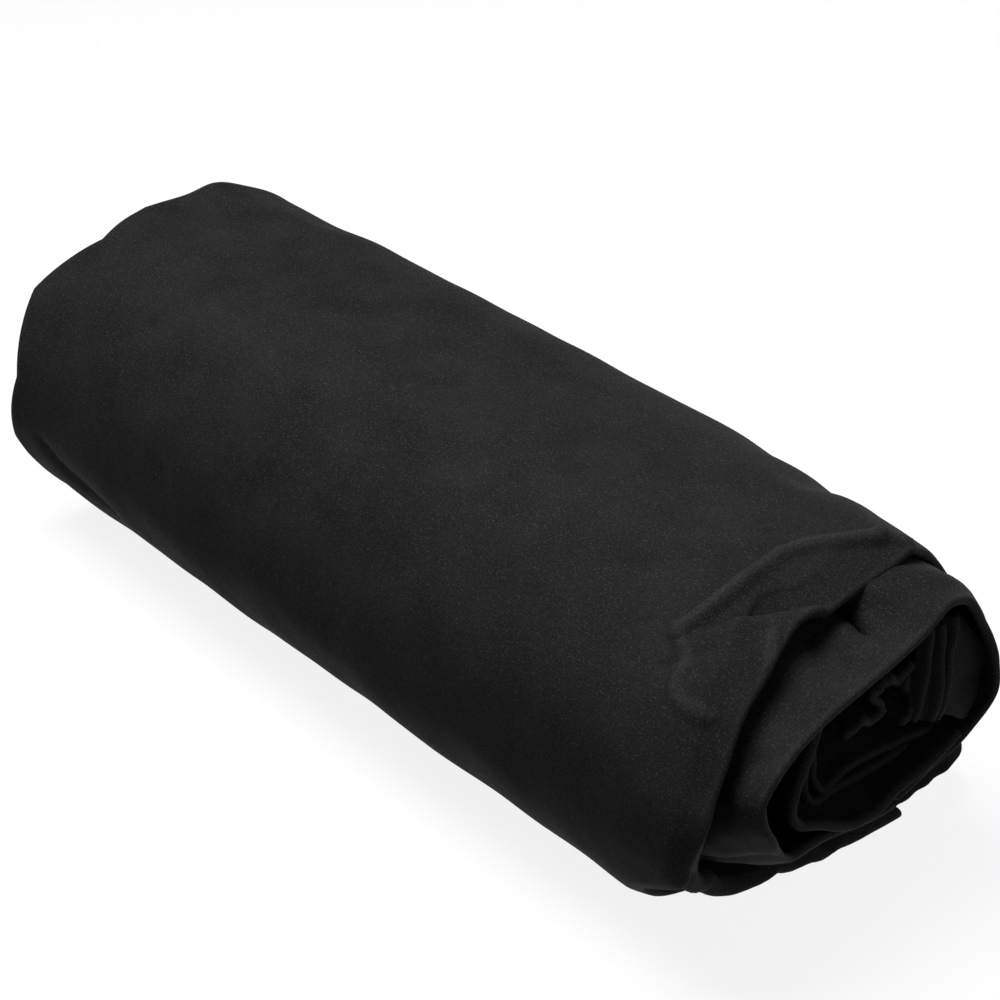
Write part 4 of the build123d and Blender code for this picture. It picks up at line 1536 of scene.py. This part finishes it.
# ------------------------------------------------------------------ studio
@dataclass
class Studio:
    """The pale floor, the soft lights and the camera.

    Args:
        axis: Where the roll lies.
        aim_height: Height that the camera looks at.
        azimuth: Degrees of the camera from the roll's front, towards the open end.
        elevation: Degrees of the camera above the floor.
        distance: From the point aimed at to the camera, in metres.
        lens: Focal length in millimetres.
        shift_sideways: The lens's sideways shift, as a share of the picture.
        shift_upwards: Its upward shift.
        sky_light: Strength of the light that the surroundings give.
        floor_colour: Colour of the floor in the light that it gives back.
        floor_glow: Glow that makes it look white to the camera and in gloss.
        floor_half: Half the floor's width, in metres.
        lamps: (name, place, width, watts) of the soft lights.
    """

    axis: RollAxis
    aim_height: float = 59.75
    azimuth: float = 51.0
    elevation: float = 29.5
    distance: float = 0.860
    lens: float = 90.0
    shift_sideways: float = 0.062
    shift_upwards: float = 0.005
    sky_light: float = 0.02
    floor_colour: float = 0.16
    floor_glow: float = 0.87
    floor_half: float = 6.0
    lamps: tuple[tuple[str, Point, float, float], ...] = (
        ("overhead", (-0.16, -0.26, 1.16), 0.7, 16.5),
        ("open_end_fill", (1.15, 0.1, 0.6), 0.9, 2.2),
        ("back_fill", (-0.25, 1.3, 0.45), 0.9, 4.5),
    )

    def backdrop_shader(self, name: str, colour: float, glow: float) -> bpy.types.Material:
        """White to the eye and in gloss, and a dull diffuse grey for the light that it gives back."""
        sheet = NodeSheet(name)
        sheet.tree.nodes.remove(sheet.shader)
        path = sheet.node("ShaderNodeLightPath")
        seen = sheet.math("MAXIMUM", path.outputs["Is Camera Ray"], path.outputs["Is Glossy Ray"])
        seen = sheet.math("MAXIMUM", seen, path.outputs["Is Transmission Ray"])
        matte = sheet.node("ShaderNodeBsdfDiffuse")
        matte.inputs["Color"].default_value = (colour, colour, colour, 1)
        shine = sheet.node("ShaderNodeEmission")
        shine.inputs["Strength"].default_value = glow
        both = sheet.node("ShaderNodeAddShader")
        sheet.join(matte.outputs["BSDF"], both.inputs[0])
        sheet.join(shine.outputs["Emission"], both.inputs[1])
        choice = sheet.node("ShaderNodeMixShader")
        sheet.join(seen, choice.inputs["Fac"])
        sheet.join(matte.outputs["BSDF"], choice.inputs[1])
        sheet.join(both.outputs["Shader"], choice.inputs[2])
        sheet.join(choice.outputs["Shader"], sheet.output.inputs["Surface"])
        return sheet.material

    def floor(self) -> None:
        """A wide floor under the skirt."""
        half = self.floor_half
        corners = np.array([(-half, -half, 0), (half, -half, 0), (half, half, 0), (-half, half, 0)])
        piece = make_piece("floor", corners, [(0, 1, 2, 3)])
        paint = self.backdrop_shader("pale_floor", self.floor_colour, self.floor_glow)
        piece.data.materials.append(paint)

    def lamp(self, name: str, place: Point, size: float, power: float) -> None:
        """A square soft light aimed at the skirt."""
        light = bpy.data.lights.new(name, "AREA")
        light.shape = "SQUARE"
        light.size = size
        light.energy = power
        lamp = add_object(name, light)
        lamp.location = place
        aim = Vector((0, 0, 0.05)) - Vector(place)
        lamp.rotation_euler = aim.to_track_quat("-Z", "Y").to_euler()

    def sky(self) -> None:
        """Pale surroundings, white to the camera and through clear things."""
        world = bpy.data.worlds.new("studio")
        bpy.context.scene.world = world
        world.use_nodes = True
        sheet = NodeTree(world.node_tree)
        sheet.tree.nodes.clear()
        path = sheet.node("ShaderNodeLightPath")
        seen = sheet.math("MAXIMUM", path.outputs["Is Camera Ray"], path.outputs["Is Transmission Ray"])
        choice = sheet.node("ShaderNodeMixShader")
        output = sheet.node("ShaderNodeOutputWorld")
        sheet.join(seen, choice.inputs["Fac"])
        for slot, strength in ((1, self.sky_light), (2, 1.0)):
            back = sheet.node("ShaderNodeBackground")
            back.inputs["Strength"].default_value = strength
            back.inputs["Color"].default_value = (1, 1, 1, 1)
            sheet.join(back.outputs["Background"], choice.inputs[slot])
        sheet.join(choice.outputs["Shader"], output.inputs["Surface"])

    def camera(self) -> None:
        """The camera above the open end, turned a little to the right."""
        turn, rise = math.radians(self.azimuth), math.radians(self.elevation)
        level = math.cos(rise)
        back = Vector((math.sin(turn) * level, -math.cos(turn) * level, math.sin(rise)))
        right = Vector((math.cos(turn), math.sin(turn), 0))
        up = back.cross(right)
        aim = Vector(self.axis.place(np.array([0.0, 0.0, self.aim_height])))
        data = bpy.data.cameras.new("camera")
        data.lens = self.lens
        data.sensor_width = 36.0
        data.shift_x, data.shift_y = self.shift_sideways, self.shift_upwards
        data.clip_start = 0.01
        camera = add_object("camera", data)
        pointing = Matrix((right, up, back)).transposed().to_4x4()
        camera.matrix_world = Matrix.Translation(aim + back * self.distance) @ pointing
        bpy.context.scene.camera = camera

    def build(self) -> None:
        """Sets the studio up."""
        self.floor()
        self.sky()
        for lamp in self.lamps:
            self.lamp(*lamp)
        self.camera()
        scene = bpy.context.scene
        scene.view_settings.view_transform = "Standard"
        log.info("studio: floor, three lamps and the camera")


def main() -> None:
    """Builds the skirt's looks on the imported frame."""
    logging.basicConfig(level=logging.INFO, format="%(message)s")
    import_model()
    axis = RollAxis.of_frame(far_end=-172.5, front=-70.8)
    log.info("roll axis: %.2f along, %.2f across", axis.along, axis.across)
    wardrobe = Wardrobe()
    Fittings(wardrobe).dress()
    Studio(axis).build()
    Roll(axis, wardrobe).build()
    FreeEnd(axis, wardrobe).build()


if __name__ == "__main__":
    main()
